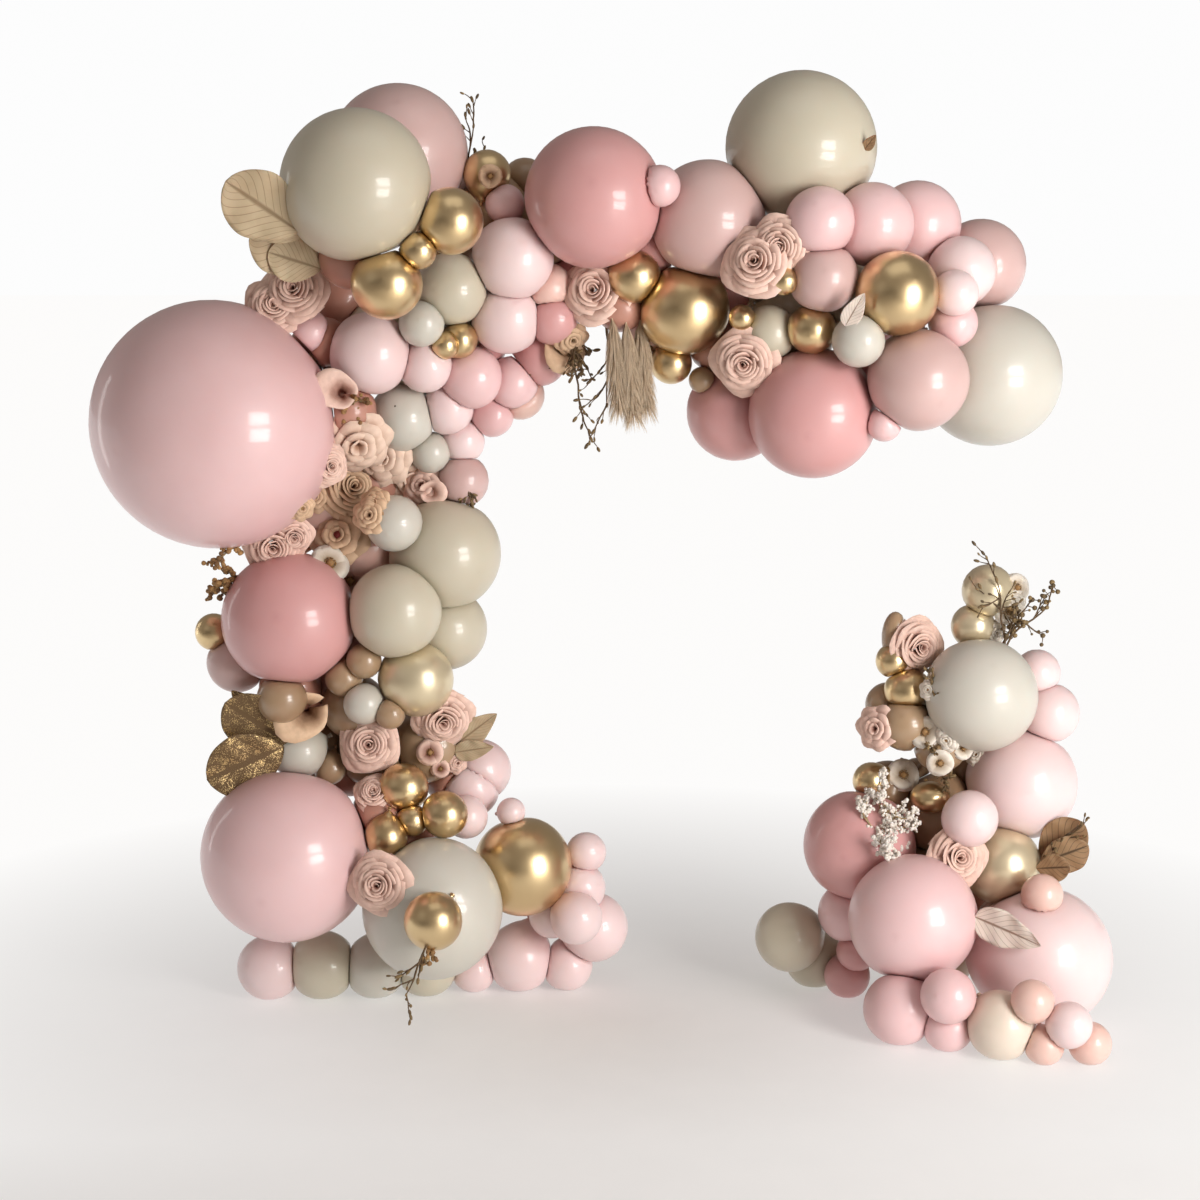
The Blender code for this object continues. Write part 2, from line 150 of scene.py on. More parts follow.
# %% Shader maths as Python
class Wire:
    """What comes out of a shader node, so that sums on it can be written as Python."""

    def __init__(self, network, socket):
        self.network = network
        self.socket = socket

    def sum(self, operation, left, right):
        return self.network.node("ShaderNodeMath", {"operation": operation}, {0: left, 1: right})

    def __add__(self, other):
        return self.sum("ADD", self, other)

    def __radd__(self, other):
        return self.sum("ADD", other, self)

    def __sub__(self, other):
        return self.sum("SUBTRACT", self, other)

    def __rsub__(self, other):
        return self.sum("SUBTRACT", other, self)

    def __mul__(self, other):
        return self.sum("MULTIPLY", self, other)

    def __rmul__(self, other):
        return self.sum("MULTIPLY", other, self)


print("reflected operators", [name for name in vars(Wire) if name.startswith("__r")])


# %% Every other node from one method
# Where a Mix node has its two colours and its result
MIX_FIRST, MIX_SECOND, MIX_RESULT = 6, 7, 2


class Network:
    """A set of shader nodes, to which one more is added with node()."""

    def __init__(self, tree):
        self.tree = tree

    def join(self, wire, socket):
        self.tree.links.new(wire.socket, socket)

    def node(self, kind, settings=None, sockets=None, out=0):
        made = self.tree.nodes.new(kind)
        for setting, value in (settings or {}).items():
            setattr(made, setting, value)
        for socket, value in (sockets or {}).items():
            if isinstance(value, Wire):
                self.join(value, made.inputs[socket])
            else:
                made.inputs[socket].default_value = value
        return Wire(self, made.outputs[out])

    def place(self):
        """Where a point is, in the part's own metres."""
        return self.node("ShaderNodeTexCoord", out="Object")

    def axes(self, wire):
        """The three numbers of a vector."""
        return [self.node("ShaderNodeSeparateXYZ", {}, {0: wire}, out=axis) for axis in range(3)]

    def noise(self, scale, detail=2.0):
        """Soft noise from 0 to 1, with its scale in waves per metre."""
        return self.node("ShaderNodeTexNoise", {}, {
            "Vector": self.place(), "Scale": scale, "Detail": detail,
        })

    def value(self, name):
        """A number that the mesh carries at each corner."""
        return self.node("ShaderNodeAttribute", {"attribute_name": name}, out="Fac")

    def slope(self, wire, start=0.0, end=1.0, blend="LINEAR"):
        """0 before the start, 1 past the end, and rising between them."""
        return self.node("ShaderNodeMapRange", {"interpolation_type": blend}, {
            "Value": wire, "From Min": start, "From Max": end,
        })

    def mix(self, share, first, second):
        """The first colour, going over to the second as the share rises to 1."""
        sockets = {0: share, MIX_FIRST: first, MIX_SECOND: second}
        return self.node("ShaderNodeMix", {"data_type": "RGBA"}, sockets, out=MIX_RESULT)


print("a mix node's result is its output", MIX_RESULT)


# %% A finish and its colours
class Finish(Network):
    """A material: its shader's fixed numbers, and the nodes that vary over the surface."""

    def __init__(self, name, **fixed):
        self.material = bpy.data.materials.new(name)
        self.material.use_nodes = True
        super().__init__(self.material.node_tree)
        self.shader = self.tree.nodes["Principled BSDF"]
        for socket, value in fixed.items():
            self.shader.inputs[socket.replace("_", " ").title()].default_value = value

    def feed(self, socket, wire):
        self.join(wire, self.shader.inputs[socket])

    def bump(self, height, strength, distance):
        sockets = {"Height": height, "Strength": strength, "Distance": distance}
        self.feed("Normal", self.node("ShaderNodeBump", {}, sockets))


def paint(red, green, blue):
    """A colour as it looks on a screen, 0 to 255, as the shader wants it."""
    def straight(level):
        level = level / 255
        return level / 12.92 if level <= 0.04045 else ((level + 0.055) / 1.055) ** 2.4
    return straight(red), straight(green), straight(blue), 1.0


print("screen grey 128 is", round(paint(128, 128, 128)[0], 3), "to the shader")

# %% [markdown]
# The room itself is a light too. Chrome balloons mirror it, and in the picture each has a dark
# smear left of its middle: the far, unlit end of the room behind the photographer. So the room is
# pale all round, with one low dark patch on that side. The backdrop that the camera sees straight
# on is plain white, as in the cut-out picture.

# %% The room
BACKDROP_WHITE = 0.98
ROOM = 0.27
WARM = (1.0, 0.90, 0.83, 1.0)
WHITE = (1.0, 1.0, 1.0, 1.0)
# How much darker the unlit end is, where its middle lies, and how narrow and how flat it is
DARK_END = 0.80
DARK_RIGHT = -0.45
DARK_UP = 0.02
DARK_NARROW = 4.0
DARK_FLAT = 14.0
BEHIND_CAMERA = -0.4

world = bpy.data.worlds.new("room")
bpy.context.scene.world = world
world.use_nodes = True
room = Network(world.node_tree)
right, back, up = room.axes(room.node("ShaderNodeTexCoord", out="Generated"))
aside = right - DARK_RIGHT
above = up - DARK_UP
patch = room.slope(1.0 - aside * aside * DARK_NARROW - above * above * DARK_FLAT, blend="SMOOTHSTEP")
lit = ROOM * (1.0 - patch * room.slope(back, 0.0, BEHIND_CAMERA) * DARK_END)
seen = room.node("ShaderNodeLightPath", out="Is Camera Ray")
sky = world.node_tree.nodes["Background"]
room.join(room.mix(seen, WARM, WHITE), sky.inputs["Color"])
room.join(lit + seen * (BACKDROP_WHITE - lit), sky.inputs["Strength"])
print("room", ROOM, "backdrop", BACKDROP_WHITE)


# %% A mesh as a piece
def as_piece(name, points, faces, finishes, face_finish=None, values=None):
    """A mesh object in the frame's own metres, with its finishes and the numbers it carries."""
    mesh = bpy.data.meshes.new(name)
    mesh.from_pydata([tuple(map(float, point)) for point in points], [], faces)
    for finish in finishes:
        mesh.materials.append(finish.material)
    if face_finish is not None:
        mesh.polygons.foreach_set("material_index", face_finish)
    mesh.polygons.foreach_set("use_smooth", [True] * len(mesh.polygons))
    for key, numbers in (values or {}).items():
        layer = mesh.attributes.new(key, "FLOAT", "POINT")
        layer.data.foreach_set("value", np.asarray(numbers, dtype=np.float32))
    mesh.update()
    piece = bpy.data.objects.new(name, mesh)
    bpy.context.scene.collection.objects.link(piece)
    return piece


def hand_over(piece, node=None):
    """Every piece rides on the one body, and stands for its node where it has one."""
    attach(piece, "root")
    if node:
        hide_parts(node)


print("body", "root")

# %% [markdown]
# The floor is a plain pale sheet. It runs far out and brightens into the white backdrop there,
# so that no hard horizon cuts across the picture behind the top of the arch. In front of the arch,
# towards the photographer, it stays unlit: there it would only wash out the chrome.

# %% Floor
FAR = 60.0
# The glow rises between these distances from the middle, and between these places front to back
GLOW_NEAR, GLOW_FAR = -0.4, 2.0
GLOW_FRONT, GLOW_BACK = -1.6, -0.6

pale_floor = Finish("pale_floor", roughness=0.6)
place = pale_floor.place()
away = pale_floor.node("ShaderNodeVectorMath", {"operation": "LENGTH"}, {0: place}, out="Value")
rearward = pale_floor.axes(place)[1]
shown = pale_floor.slope(away, GLOW_NEAR, GLOW_FAR) * pale_floor.slope(rearward, GLOW_FRONT, GLOW_BACK)
dust = pale_floor.noise(7.0, 4.0)
pale_floor.feed("Base Color", pale_floor.mix(dust, paint(240, 238, 235), paint(248, 246, 243)))
glow = pale_floor.node("ShaderNodeEmission", {}, {
    "Color": (1.0, 0.99, 0.98, 1.0),
    "Strength": BACKDROP_WHITE,
})
plain = Wire(pale_floor, pale_floor.shader.outputs[0])
blended = pale_floor.node("ShaderNodeMixShader", {}, {0: shown, 1: plain, 2: glow})
pale_floor.join(blended, pale_floor.tree.nodes["Material Output"].inputs[0])

corners = [(-FAR, -FAR, 0), (FAR, -FAR, 0), (FAR, FAR, 0), (-FAR, FAR, 0)]
as_piece("floor", corners, [(0, 1, 2, 3)], [pale_floor])
print("floor reaches", FAR, "m out")

# %% [markdown]
# Fashion latex is matt at a distance and has a soft window shine near by. Blown up, the skin is
# thinnest and palest at the crown and thickest at the neck, where the colour deepens. So each
# balloon's mesh carries how near the neck a point is, and the finish deepens the colour with it.
# A little cloudiness and a dusty bloom keep it from looking like paint.

# %% Latex, pearl and chrome
# How far the neck deepens the colour, how cloudy the colour is, and how unevenly it shines
LATEX_DEEPENS, LATEX_CLOUDY, LATEX_DUSTY = 0.85, 0.22, 0.12
CHROME_DEEPENS, CHROME_CLOUDY, CHROME_DUSTY = 0.6, 0.12, 0.05


def latex(name, thin, thick, roughness=0.42):
    finish = Finish(
        name,
        coat_weight=0.38,
        coat_roughness=0.09,
        subsurface_weight=0.15,
        subsurface_scale=0.02,
    )
    finish.shader.inputs["Subsurface Radius"].default_value = (1.0, 0.45, 0.35)
    cloud = finish.noise(9.0, 3.0)
    depth = finish.value("neck") * LATEX_DEEPENS + (cloud - 0.5) * LATEX_CLOUDY
    finish.feed("Base Color", finish.mix(depth, thin, thick))
    finish.feed("Roughness", (finish.noise(160.0, 3.0) - 0.5) * LATEX_DUSTY + roughness)
    finish.bump(finish.noise(700.0), 0.05, 0.0004)
    return finish


def chrome(name, bright, deep, roughness=0.32):
    finish = Finish(name, metallic=1.0, coat_weight=0.25, coat_roughness=0.10)
    cloud = finish.noise(14.0, 3.0)
    depth = finish.value("neck") * CHROME_DEEPENS + (cloud - 0.5) * CHROME_CLOUDY
    finish.feed("Base Color", finish.mix(depth, bright, deep))
    finish.feed("Roughness", (finish.noise(90.0) - 0.5) * CHROME_DUSTY + roughness)
    finish.bump(finish.noise(9.0), 0.02, 0.004)
    return finish


print("the neck deepens latex by", LATEX_DEEPENS, "and chrome by", CHROME_DEEPENS)

# %% The skins
SKINS = {
    "blush": latex("blush_latex", paint(232, 196, 196), paint(186, 124, 122)),
    "rose": latex("rose_latex", paint(213, 160, 158), paint(164, 98, 96)),
    "pale": latex("pale_latex", paint(236, 213, 212), paint(210, 160, 156)),
    "mauve": latex("mauve_latex", paint(208, 176, 171), paint(172, 126, 120)),
    "peach": latex("peach_latex", paint(230, 194, 182), paint(194, 134, 114)),
    # Shaded peach is peach latex painted darker: painted shade on the balloons deep in the gaps behind.
    "clay": latex("clay_latex", paint(188, 136, 118), paint(132, 80, 62)),
    "cream": latex("cream_latex", paint(200, 192, 172), paint(168, 153, 126)),
    "ivory": latex("ivory_latex", paint(226, 212, 196), paint(194, 164, 140)),
    "white": latex("white_latex", paint(204, 200, 189), paint(176, 167, 149)),
    "taupe": latex("taupe_latex", paint(170, 142, 112), paint(120, 90, 63), 0.32),
    "pearl": chrome("pearl_latex", paint(222, 207, 174), paint(172, 142, 100)),
    "gold": chrome("gold_latex", paint(224, 198, 152), paint(166, 128, 82)),
}
# Pearl latex is only half as metallic as chrome, and its plain half keeps it pale
SKINS["pearl"].shader.inputs["Metallic"].default_value = 0.55
print("finishes", sorted(SKINS))

# %% [markdown]
# The frame's balloons are faceted balls that were cut flat against one another, and the balls of
# one cluster are joined. To make smooth ones in the same places, each ball's centre and radius are
# found again. Four corners of two facets that share an edge lie on just one sphere. If that sphere
# runs through many other corners too, it is the ball. The strongest such sphere is taken first.

# %% A node's mesh and a ball's true radius
# Facets round a ball, by the smallest radius that gets them
FACETS_ROUND = ((0.16, 12), (0.10, 9), (0.06, 8), (0.0, 6))


def true_radius(corner_radius):
    """A faceted ball's corners stand proud, so that its flat sides average the radius."""
    for smallest, sides in FACETS_ROUND:
        radius = corner_radius * (1 + math.cos(math.pi / sides)) / 2
        if radius > smallest:
            break
    return radius


def node_mesh(name):
    """A node's corners, with doubled ones merged, and its triangles."""
    mesh = frame["nodes"][name].data
    mesh.calc_loop_triangles()
    points = np.array([corner.co for corner in mesh.vertices])
    keys, first, merged = np.unique(points.round(5), axis=0, return_index=True, return_inverse=True)
    merged = merged.reshape(-1)
    triangles = [tuple(merged[list(triangle.vertices)]) for triangle in mesh.loop_triangles]
    return points[first], [triangle for triangle in triangles if len(set(triangle)) == 3]


print("the giant has", len(node_mesh("balloon_blush_giant")[0]), "corners")

# %% Find the balls in the frame
# A corner this near to a sphere is on it, and four corners flatter than this give no sphere
SAME = 0.0002
FLATTEST = 1e-6
SMALLEST_BALL, LARGEST_BALL = 0.03, 0.30
FEWEST_CORNERS = 4


def find_balls(name, count):
    """The centres and radii of a node's balls, strongest first."""
    points, triangles = node_mesh(name)
    beside = {}
    for triangle in triangles:
        for corner in range(3):
            edge = tuple(sorted((triangle[corner], triangle[(corner + 1) % 3])))
            beside.setdefault(edge, []).append(triangle[(corner + 2) % 3])
    fours = [(*edge, *tips) for edge, tips in beside.items() if len(tips) == 2]
    corners = points[np.array(fours)]
    spread = 2 * (corners[:, 1:] - corners[:, :1])
    squares = (corners ** 2).sum(axis=2)
    rounded = np.abs(np.linalg.det(spread)) > FLATTEST
    sums = (squares[rounded, 1:] - squares[rounded, :1])[..., None]
    centres = np.linalg.solve(spread[rounded], sums)[..., 0]
    radii = np.linalg.norm(corners[rounded, 0] - centres, axis=1)
    sensible = (radii > SMALLEST_BALL) & (radii < LARGEST_BALL)
    centres, radii = centres[sensible], radii[sensible]
    miss = np.abs(np.linalg.norm(points[None] - centres[:, None], axis=2) - radii[:, None])
    on_sphere = miss < SAME
    balls = []
    free = np.ones(len(points), bool)
    while len(balls) < count:
        votes = (on_sphere & free).sum(axis=1)
        best = int(votes.argmax())
        if votes[best] < FEWEST_CORNERS:
            break
        balls.append((np.array(centres[best]), true_radius(float(radii[best]))))
        free &= ~on_sphere[best]
    return balls


print("the giant's radius", round(find_balls("balloon_blush_giant", 1)[0][1], 4))

# %% [markdown]
# Most balloons of one cluster have one colour, and the record's material slot says which. A few
# differ, so they are named here by where they show in the picture.

# %% Every balloon that has a solid
# How many balloons each cluster has
CLUSTERS = {
    "balloons_cream_floor": 4, "balloons_pale_left_foot": 8, "balloons_pale_foot_top": 2,
    "balloons_gold_foot": 4, "balloons_taupe_waist": 6, "balloons_cream_column": 4,
    "balloons_rose_column": 2, "balloons_peach_column_back": 2, "balloons_white_column": 4,
    "balloons_blush_corner": 3, "balloons_cream_corner": 5, "balloons_taupe_top_back": 3,
    "balloons_pale_corner": 2, "balloons_gold_corner": 3, "balloons_pale_top": 2,
    "balloons_rose_span": 2, "balloons_gold_middle": 3, "balloons_cream_span": 4,
    "balloons_mauve_end": 4, "balloons_blush_row": 4, "balloons_cream_right_foot": 2,
    "balloons_taupe_right_back": 3, "balloons_rose_right": 4, "balloons_blush_right_foot": 3,
    "balloons_peach_right_foot": 5, "balloons_pale_right_side": 2, "balloons_gold_right_tip": 2,
    "balloons_pearl_tip": 2,
}
# node, finish, across, down
OTHER_COLOURS = (
    ("balloons_cream_column", "white", 395, 521),
    ("balloons_rose_column", "mauve", 231, 664),
    ("balloons_white_column", "mauve", 469, 471),
    ("balloons_white_column", "pale", 451, 422),
    ("balloons_cream_corner", "white", 419, 328),
    ("balloons_mauve_end", "pale", 961, 268),
    ("balloons_mauve_end", "pale", 949, 303),
    ("balloons_mauve_end", "blush", 952, 324),
    ("balloons_blush_row", "mauve", 822, 282),
    ("balloons_rose_right", "blush", 842, 920),
    ("balloons_peach_right_foot", "ivory", 1003, 1030),
    ("balloon_cream_left_foot", "white", 450, 890),
    ("balloon_mauve_right", "pale", 1010, 790),
    ("balloons_peach_right_foot", "pale", 1080, 1025),
    ("balloons_cream_floor", "pale", 265, 985),
    ("balloons_cream_floor", "white", 372, 985),
)
slots = {entry["node"]: entry["material_slot"] for entry in frame["record"]["subparts"]}
balloons = []
for node, slot in slots.items():
    if slot != "paper":
        for centre, radius in find_balls(node, CLUSTERS.get(node, 1)):
            balloons.append({"node": node, "centre": centre, "radius": radius, "skin": slot})
for node, skin, across, down in OTHER_COLOURS:
    cluster = [each for each in balloons if each["node"] == node]
    misses = [math.dist(pixel(each["centre"]), (across, down)) for each in cluster]
    cluster[int(np.argmin(misses))]["skin"] = skin
print("balloons with a solid", len(balloons))

# %% [markdown]
# The smallest balloons fill the creases, and are too small for solids of their own. A decorator
# tucks them in last. Each is pushed in along its line of sight until it nestles against what
# carries it: those that show, from the front, and those that only close a gap, from behind.

# %% Where the small balloons go
# finish, across, down, radius in the picture, and how much of its radius is pressed in
SMALL = (
    ("gold", 487, 174, 23, 0.5),
    ("blush", 505, 204, 19, 0.6),
    ("blush", 313, 328, 21, 0.5), ("gold", 459, 340, 18, 0.3), ("gold", 445, 345, 14, 0.5),
    ("gold", 214, 632, 18, 0.5), ("taupe", 281, 704, 24, 0.4), ("white", 364, 704, 20, 0.5),
    ("taupe", 390, 714, 15, 0.5), ("pale", 511, 812, 14, 0.4), ("taupe", 330, 768, 16, 0.5),
    ("blush", 660, 186, 20, 0.8), ("gold", 784, 281, 14, 0.4), ("gold", 742, 318, 13, 0.4),
    ("blush", 884, 424, 17, 0.7), ("gold", 874, 765, 18, 0.4),
    ("gold", 930, 797, 19, 0.4), ("peach", 1042, 895, 20, 0.7), ("taupe", 702, 380, 13, 0.6),
    ("taupe", 905, 750, 13, 0.5), ("taupe", 897, 612, 13, 0.5), ("peach", 905, 634, 13, 0.6),
)
# Shaded peach ones are peach balloons painted darker, as painted shade deep in the gaps.
# finish, across, down and radius of those that only fill a gap from behind
FILLING = (
    ("clay", 350, 258, 30), ("clay", 338, 296, 28), ("clay", 325, 342, 24), ("clay", 352, 636, 28),
    ("clay", 290, 684, 30), ("clay", 330, 690, 28), ("rose", 560, 272, 28), ("rose", 648, 250, 28),
    ("peach", 655, 335, 26), ("clay", 620, 305, 26), ("clay", 375, 476, 30), ("clay", 395, 445, 28),
    ("clay", 410, 846, 28), ("clay", 380, 818, 30), ("clay", 455, 775, 30), ("clay", 350, 765, 30),
    ("rose", 875, 318, 28), ("rose", 850, 300, 26), ("clay", 438, 490, 24), ("clay", 350, 410, 28),
    ("clay", 330, 450, 26), ("clay", 330, 520, 28), ("clay", 350, 560, 28), ("rose", 545, 355, 26),
    ("taupe", 888, 705, 22), ("taupe", 905, 735, 26), ("taupe", 940, 745, 26), ("taupe", 915, 700, 24),
    ("taupe", 885, 790, 28), ("rose", 440, 330, 26), ("rose", 400, 300, 28), ("rose", 420, 375, 28),
    ("rose", 480, 345, 26), ("pale", 480, 770, 30), ("rose", 945, 930, 30), ("clay", 970, 900, 26),
    ("rose", 735, 290, 28), ("clay", 715, 345, 26), ("peach", 520, 395, 24), ("rose", 930, 1000, 28),
    ("peach", 548, 288, 24), ("rose", 552, 318, 26), ("pale", 447, 408, 26), ("clay", 310, 350, 22),
    ("clay", 316, 716, 22), ("rose", 470, 400, 24), ("rose", 690, 300, 26),
    ("pale", 447, 188, 24), ("taupe", 525, 181, 22), ("rose", 860, 374, 24), ("taupe", 962, 772, 22),
)
# Two small ones aren't round: how tall each is for its width, by where it shows
TALL = {(897, 612): 1.9, (930, 797): 0.78}
print("listed", len(SMALL), "in front and", len(FILLING), "behind")

# %% Push them in
# Distances from the camera at which they are tried
NEAREST, FARTHEST, STEP = 3.4, 5.2, 0.003
FILLING_PRESSED = 0.6
WALL = max(corner[1] for corner in cad_box)


def nestle(across, down, pixels, pressed, behind=False):
    """Push a small ball in, from the camera or from behind, until it rests on other balloons."""
    direction = np.array(ray(across, down))
    tries = []
    depths = np.arange(NEAREST, FARTHEST, STEP)
    for depth in depths[::-1] if behind else depths:
        centre = np.array(CAMERA_AT) + direction * depth
        radius = pixels * depth / FOCAL_PIXELS
        if centre[1] + radius > WALL or centre[2] < radius:
            continue
        gaps = [np.linalg.norm(centre - each["centre"]) - each["radius"] for each in balloons]
        tries.append((min(gaps) - radius * (1 - pressed), int(np.argmin(gaps)), centre, radius))
        if tries[-1][0] < 0:
            break
    touching = tries[-1][0] < 0
    short, carrier, centre, radius = tries[-1] if touching else min(tries, key=lambda each: each[0])
    toward = balloons[carrier]["centre"] - centre
    return centre + toward / np.linalg.norm(toward) * max(short, 0.0), radius


tucked_in = []
for skin, across, down, pixels, pressed in SMALL:
    centre, radius = nestle(across, down, pixels, pressed)
    tall = TALL.get((across, down), 1.0)
    tucked_in.append({"node": None, "centre": centre, "radius": radius, "skin": skin, "tall": tall})
for skin, across, down, pixels in FILLING:
    centre, radius = nestle(across, down, pixels, FILLING_PRESSED, behind=True)
    tucked_in.append({"node": None, "centre": centre, "radius": radius, "skin": skin})
balloons += tucked_in
print("small ones", len(tucked_in))

# %% [markdown]
# Where two balloons press on one another they share a flat, which lies in the plane where both
# spheres meet. Its edge is soft, because the skin bends over and doesn't crease. Each point of a
# balloon is therefore drawn in by a smooth minimum of its own sphere and all those planes.

# %% The flats of a pressed balloon
# A flat lies at least this share of the radius from the middle
DEEPEST_FLAT = 0.2
# Nearer than this many radii, the floor or the backdrop presses too
TOUCHES = 1.02


def planes_on(index):
    """The direction and distance of each flat that a balloon is pressed on."""
    own = balloons[index]
    centre, radius = own["centre"], own["radius"]
    flats = []
    for other, each in enumerate(balloons):
        apart = np.linalg.norm(each["centre"] - centre)
        if other != index and apart < radius + each["radius"]:
            meet = (apart ** 2 + radius ** 2 - each["radius"] ** 2) / (2 * apart)
            flats.append(((each["centre"] - centre) / apart, max(meet, radius * DEEPEST_FLAT)))
    if centre[2] < radius * TOUCHES:
        flats.append((np.array((0.0, 0.0, -1.0)), centre[2]))
    if WALL - centre[1] < radius * TOUCHES:
        flats.append((np.array((0.0, 1.0, 0.0)), WALL - centre[1]))
    return flats


print("the first balloon has", len(planes_on(0)), "flats")

# %% [markdown]
# A balloon is a little longer towards its neck and ends in a knot with a rolled lip. A decorator
# ties it from inside the garland. So of many ways that the neck could point, spread evenly round
# the balloon, the one is taken that is nearest to inward and back and isn't blocked by a flat.

# %% Which way the neck points
WAYS = 90
# A balloon no farther off than this counts as a neighbour
NEIGHBOUR = 0.22
BACKWARD = np.array((0.0, 0.7, 0.0))
LEAST_INWARD = 0.02
NECK_REACH = 1.25
CROWDED = 4


def neck_direction(own, flats):
    """Where there is room for the neck, as near as can be to the inside of the garland."""
    near = [each["centre"] for each in balloons
            if np.linalg.norm(each["centre"] - own["centre"]) < own["radius"] + NEIGHBOUR]
    inward = np.mean(near, axis=0) - own["centre"]
    inward = inward / max(np.linalg.norm(inward), LEAST_INWARD) + BACKWARD
    golden = math.pi * (3 - math.sqrt(5))
    best, choice = -math.inf, None
    for turn in range(WAYS):
        height = 1 - 2 * (turn + 0.5) / WAYS
        flat = math.sqrt(1 - height * height)
        way = np.array((flat * math.cos(turn * golden), flat * math.sin(turn * golden), height))
        blocked = max([0.0] + [way @ normal * NECK_REACH - far / own["radius"] for normal, far in flats])
        score = way @ inward - CROWDED * blocked
        if score > best:
            best, choice = score, way
    return choice


print("the first neck points", neck_direction(balloons[0], planes_on(0)).round(2))


# %% Skins and sheets as grids of points
def about_axis(out, turn, height):
    """Points that lie so far out from the Z axis, at such a turn round it and so high."""
    return np.stack(np.broadcast_arrays(out * np.cos(turn), out * np.sin(turn), height), axis=-1)


def band_faces(rings, sides):
    """The faces of a skin that closes round its axis, ring by ring."""
    faces = []
    for ring in range(rings - 1):
        near, far = ring * sides, (ring + 1) * sides
        for side in range(sides):
            after = (side + 1) % sides
            faces.append((near + side, far + side, far + after, near + after))
    return faces


def sheet_faces(along, across):
    """The faces of an open sheet, row by row."""
    faces = []
    for row in range(along - 1):
        for column in range(across - 1):
            corner = row * across + column
            faces.append((corner, corner + 1, corner + across + 1, corner + across))
    return faces


print("a sheet of 3 by 3 points has", len(sheet_faces(3, 3)), "faces")

# %% One smooth pressed balloon
SOFTNESS = 30
# A balloon that is pressed in some places swells this much in the others
BULGE = 1.03
UNEVEN = 0.006
# Least radius, and how many points round and up a balloon of it has
ROUND_AND_UP = ((0.16, 68, 34), (0.10, 50, 25), (0.06, 38, 20), (0.0, 24, 14))
# The neck, in radii out and along, for a balloon of this radius. On others it grows more slowly.
NECK = (
    (0.150, -1.105), (0.085, -1.140), (0.052, -1.170), (0.046, -1.195), (0.075, -1.212),
    (0.072, -1.236), (0.042, -1.250), (0.052, -1.268), (0.088, -1.300), (0.080, -1.312), (0.004, -1.290),
)
NECK_SIZE = 0.07
NECK_ROOT = -1.07
# The skin ends at this tilt, and is drawn out towards it from the waist on
LAST_TILT = 2.92
WAIST, WAIST_TO_NECK = 1.5, 1.4
TAPER = 0.09
CROWN_DEPTH, DEEPENING = 0.12, 2.2


def balloon_mesh(index):
    """Points, faces and nearness to the neck of one pressed balloon."""
    own = balloons[index]
    radius = own["radius"]
    flats = planes_on(index)
    sides, rings = next(counts for least, *counts in ROUND_AND_UP if radius > least)
    tilt = np.linspace(0.0, LAST_TILT, rings)
    ease = np.clip((tilt - WAIST) / WAIST_TO_NECK, 0, 1) ** 2
    knot = (NECK_SIZE / radius) ** 0.5
    neck = np.array(NECK)
    width = np.concatenate([np.sin(tilt) * (1 - TAPER * ease), neck[:, 0] * knot])
    drop = NECK_ROOT + (neck[:, 1] - NECK_ROOT) * knot
    height = np.concatenate([np.cos(tilt) * (1 + TAPER * ease), drop])
    turn = np.linspace(0, 2 * math.pi, sides, endpoint=False)
    points = about_axis(width[:, None], turn, height[:, None])
    start = np.random.default_rng(index).uniform(0, 2 * math.pi)
    uneven = UNEVEN * np.sin(2 * turn + start)[None] * width[:, None] ** 2
    points = points * radius * BULGE * (1 + uneven[..., None])
    facing = Vector(-neck_direction(own, flats)).to_track_quat("Z", "Y").to_matrix()
    points = points @ np.array(facing).T
    body = points[:rings]
    squeeze = np.zeros(body.shape[:2])
    for normal, far in flats:
        squeeze += np.clip(body @ normal / far, 0, None) ** SOFTNESS
    body *= ((1 + squeeze) ** (-1 / SOFTNESS))[..., None]
    points[..., 2] *= own.get("tall", 1.0)
    depth = np.concatenate([(tilt / math.pi) ** DEEPENING, np.ones(len(neck))])
    depth[0] = CROWN_DEPTH
    faces = band_faces(len(width), sides)
    return (points + own["centre"]).reshape(-1, 3), faces, np.repeat(depth, sides)


print("the first balloon has", len(balloon_mesh(0)[1]), "faces")


# %% Dress every cluster
def dress(name, members, slot, node=None):
    """One object for the balloons of a cluster, each in its own finish."""
    points, faces, face_finish, depth = [], [], [], []
    skins = sorted({balloons[index]["skin"] for index in members})
    for index in members:
        some_points, some_faces, some_depth = balloon_mesh(index)
        start = sum(len(each) for each in points)
        points.append(some_points)
        faces += [tuple(corner + start for corner in face) for face in some_faces]
        face_finish += [skins.index(balloons[index]["skin"])] * len(some_faces)
        depth.append(some_depth)
    finishes = [SKINS[skin] for skin in skins]
    values = {"neck": np.concatenate(depth)}
    piece = as_piece(name, np.concatenate(points), faces, finishes, face_finish, values)
    hand_over(piece, node)


def members_of(key, wanted):
    """Which balloons have a wanted node, or which small ones a wanted skin."""
    return [index for index, each in enumerate(balloons)
            if each[key] == wanted and (key == "node" or each["node"] is None)]


for node, slot in slots.items():
    if slot != "paper":
        dress(f"{node}_latex", members_of("node", node), slot, node)
# Shaded peach balloons are peach ones painted darker, as painted shade in the gaps.
for skin in sorted({each["skin"] for each in tucked_in}):
    dress(f"small_balloons_{skin}", members_of("skin", skin), "peach" if skin == "clay" else skin)
print("dressed", len(balloons), "balloons")
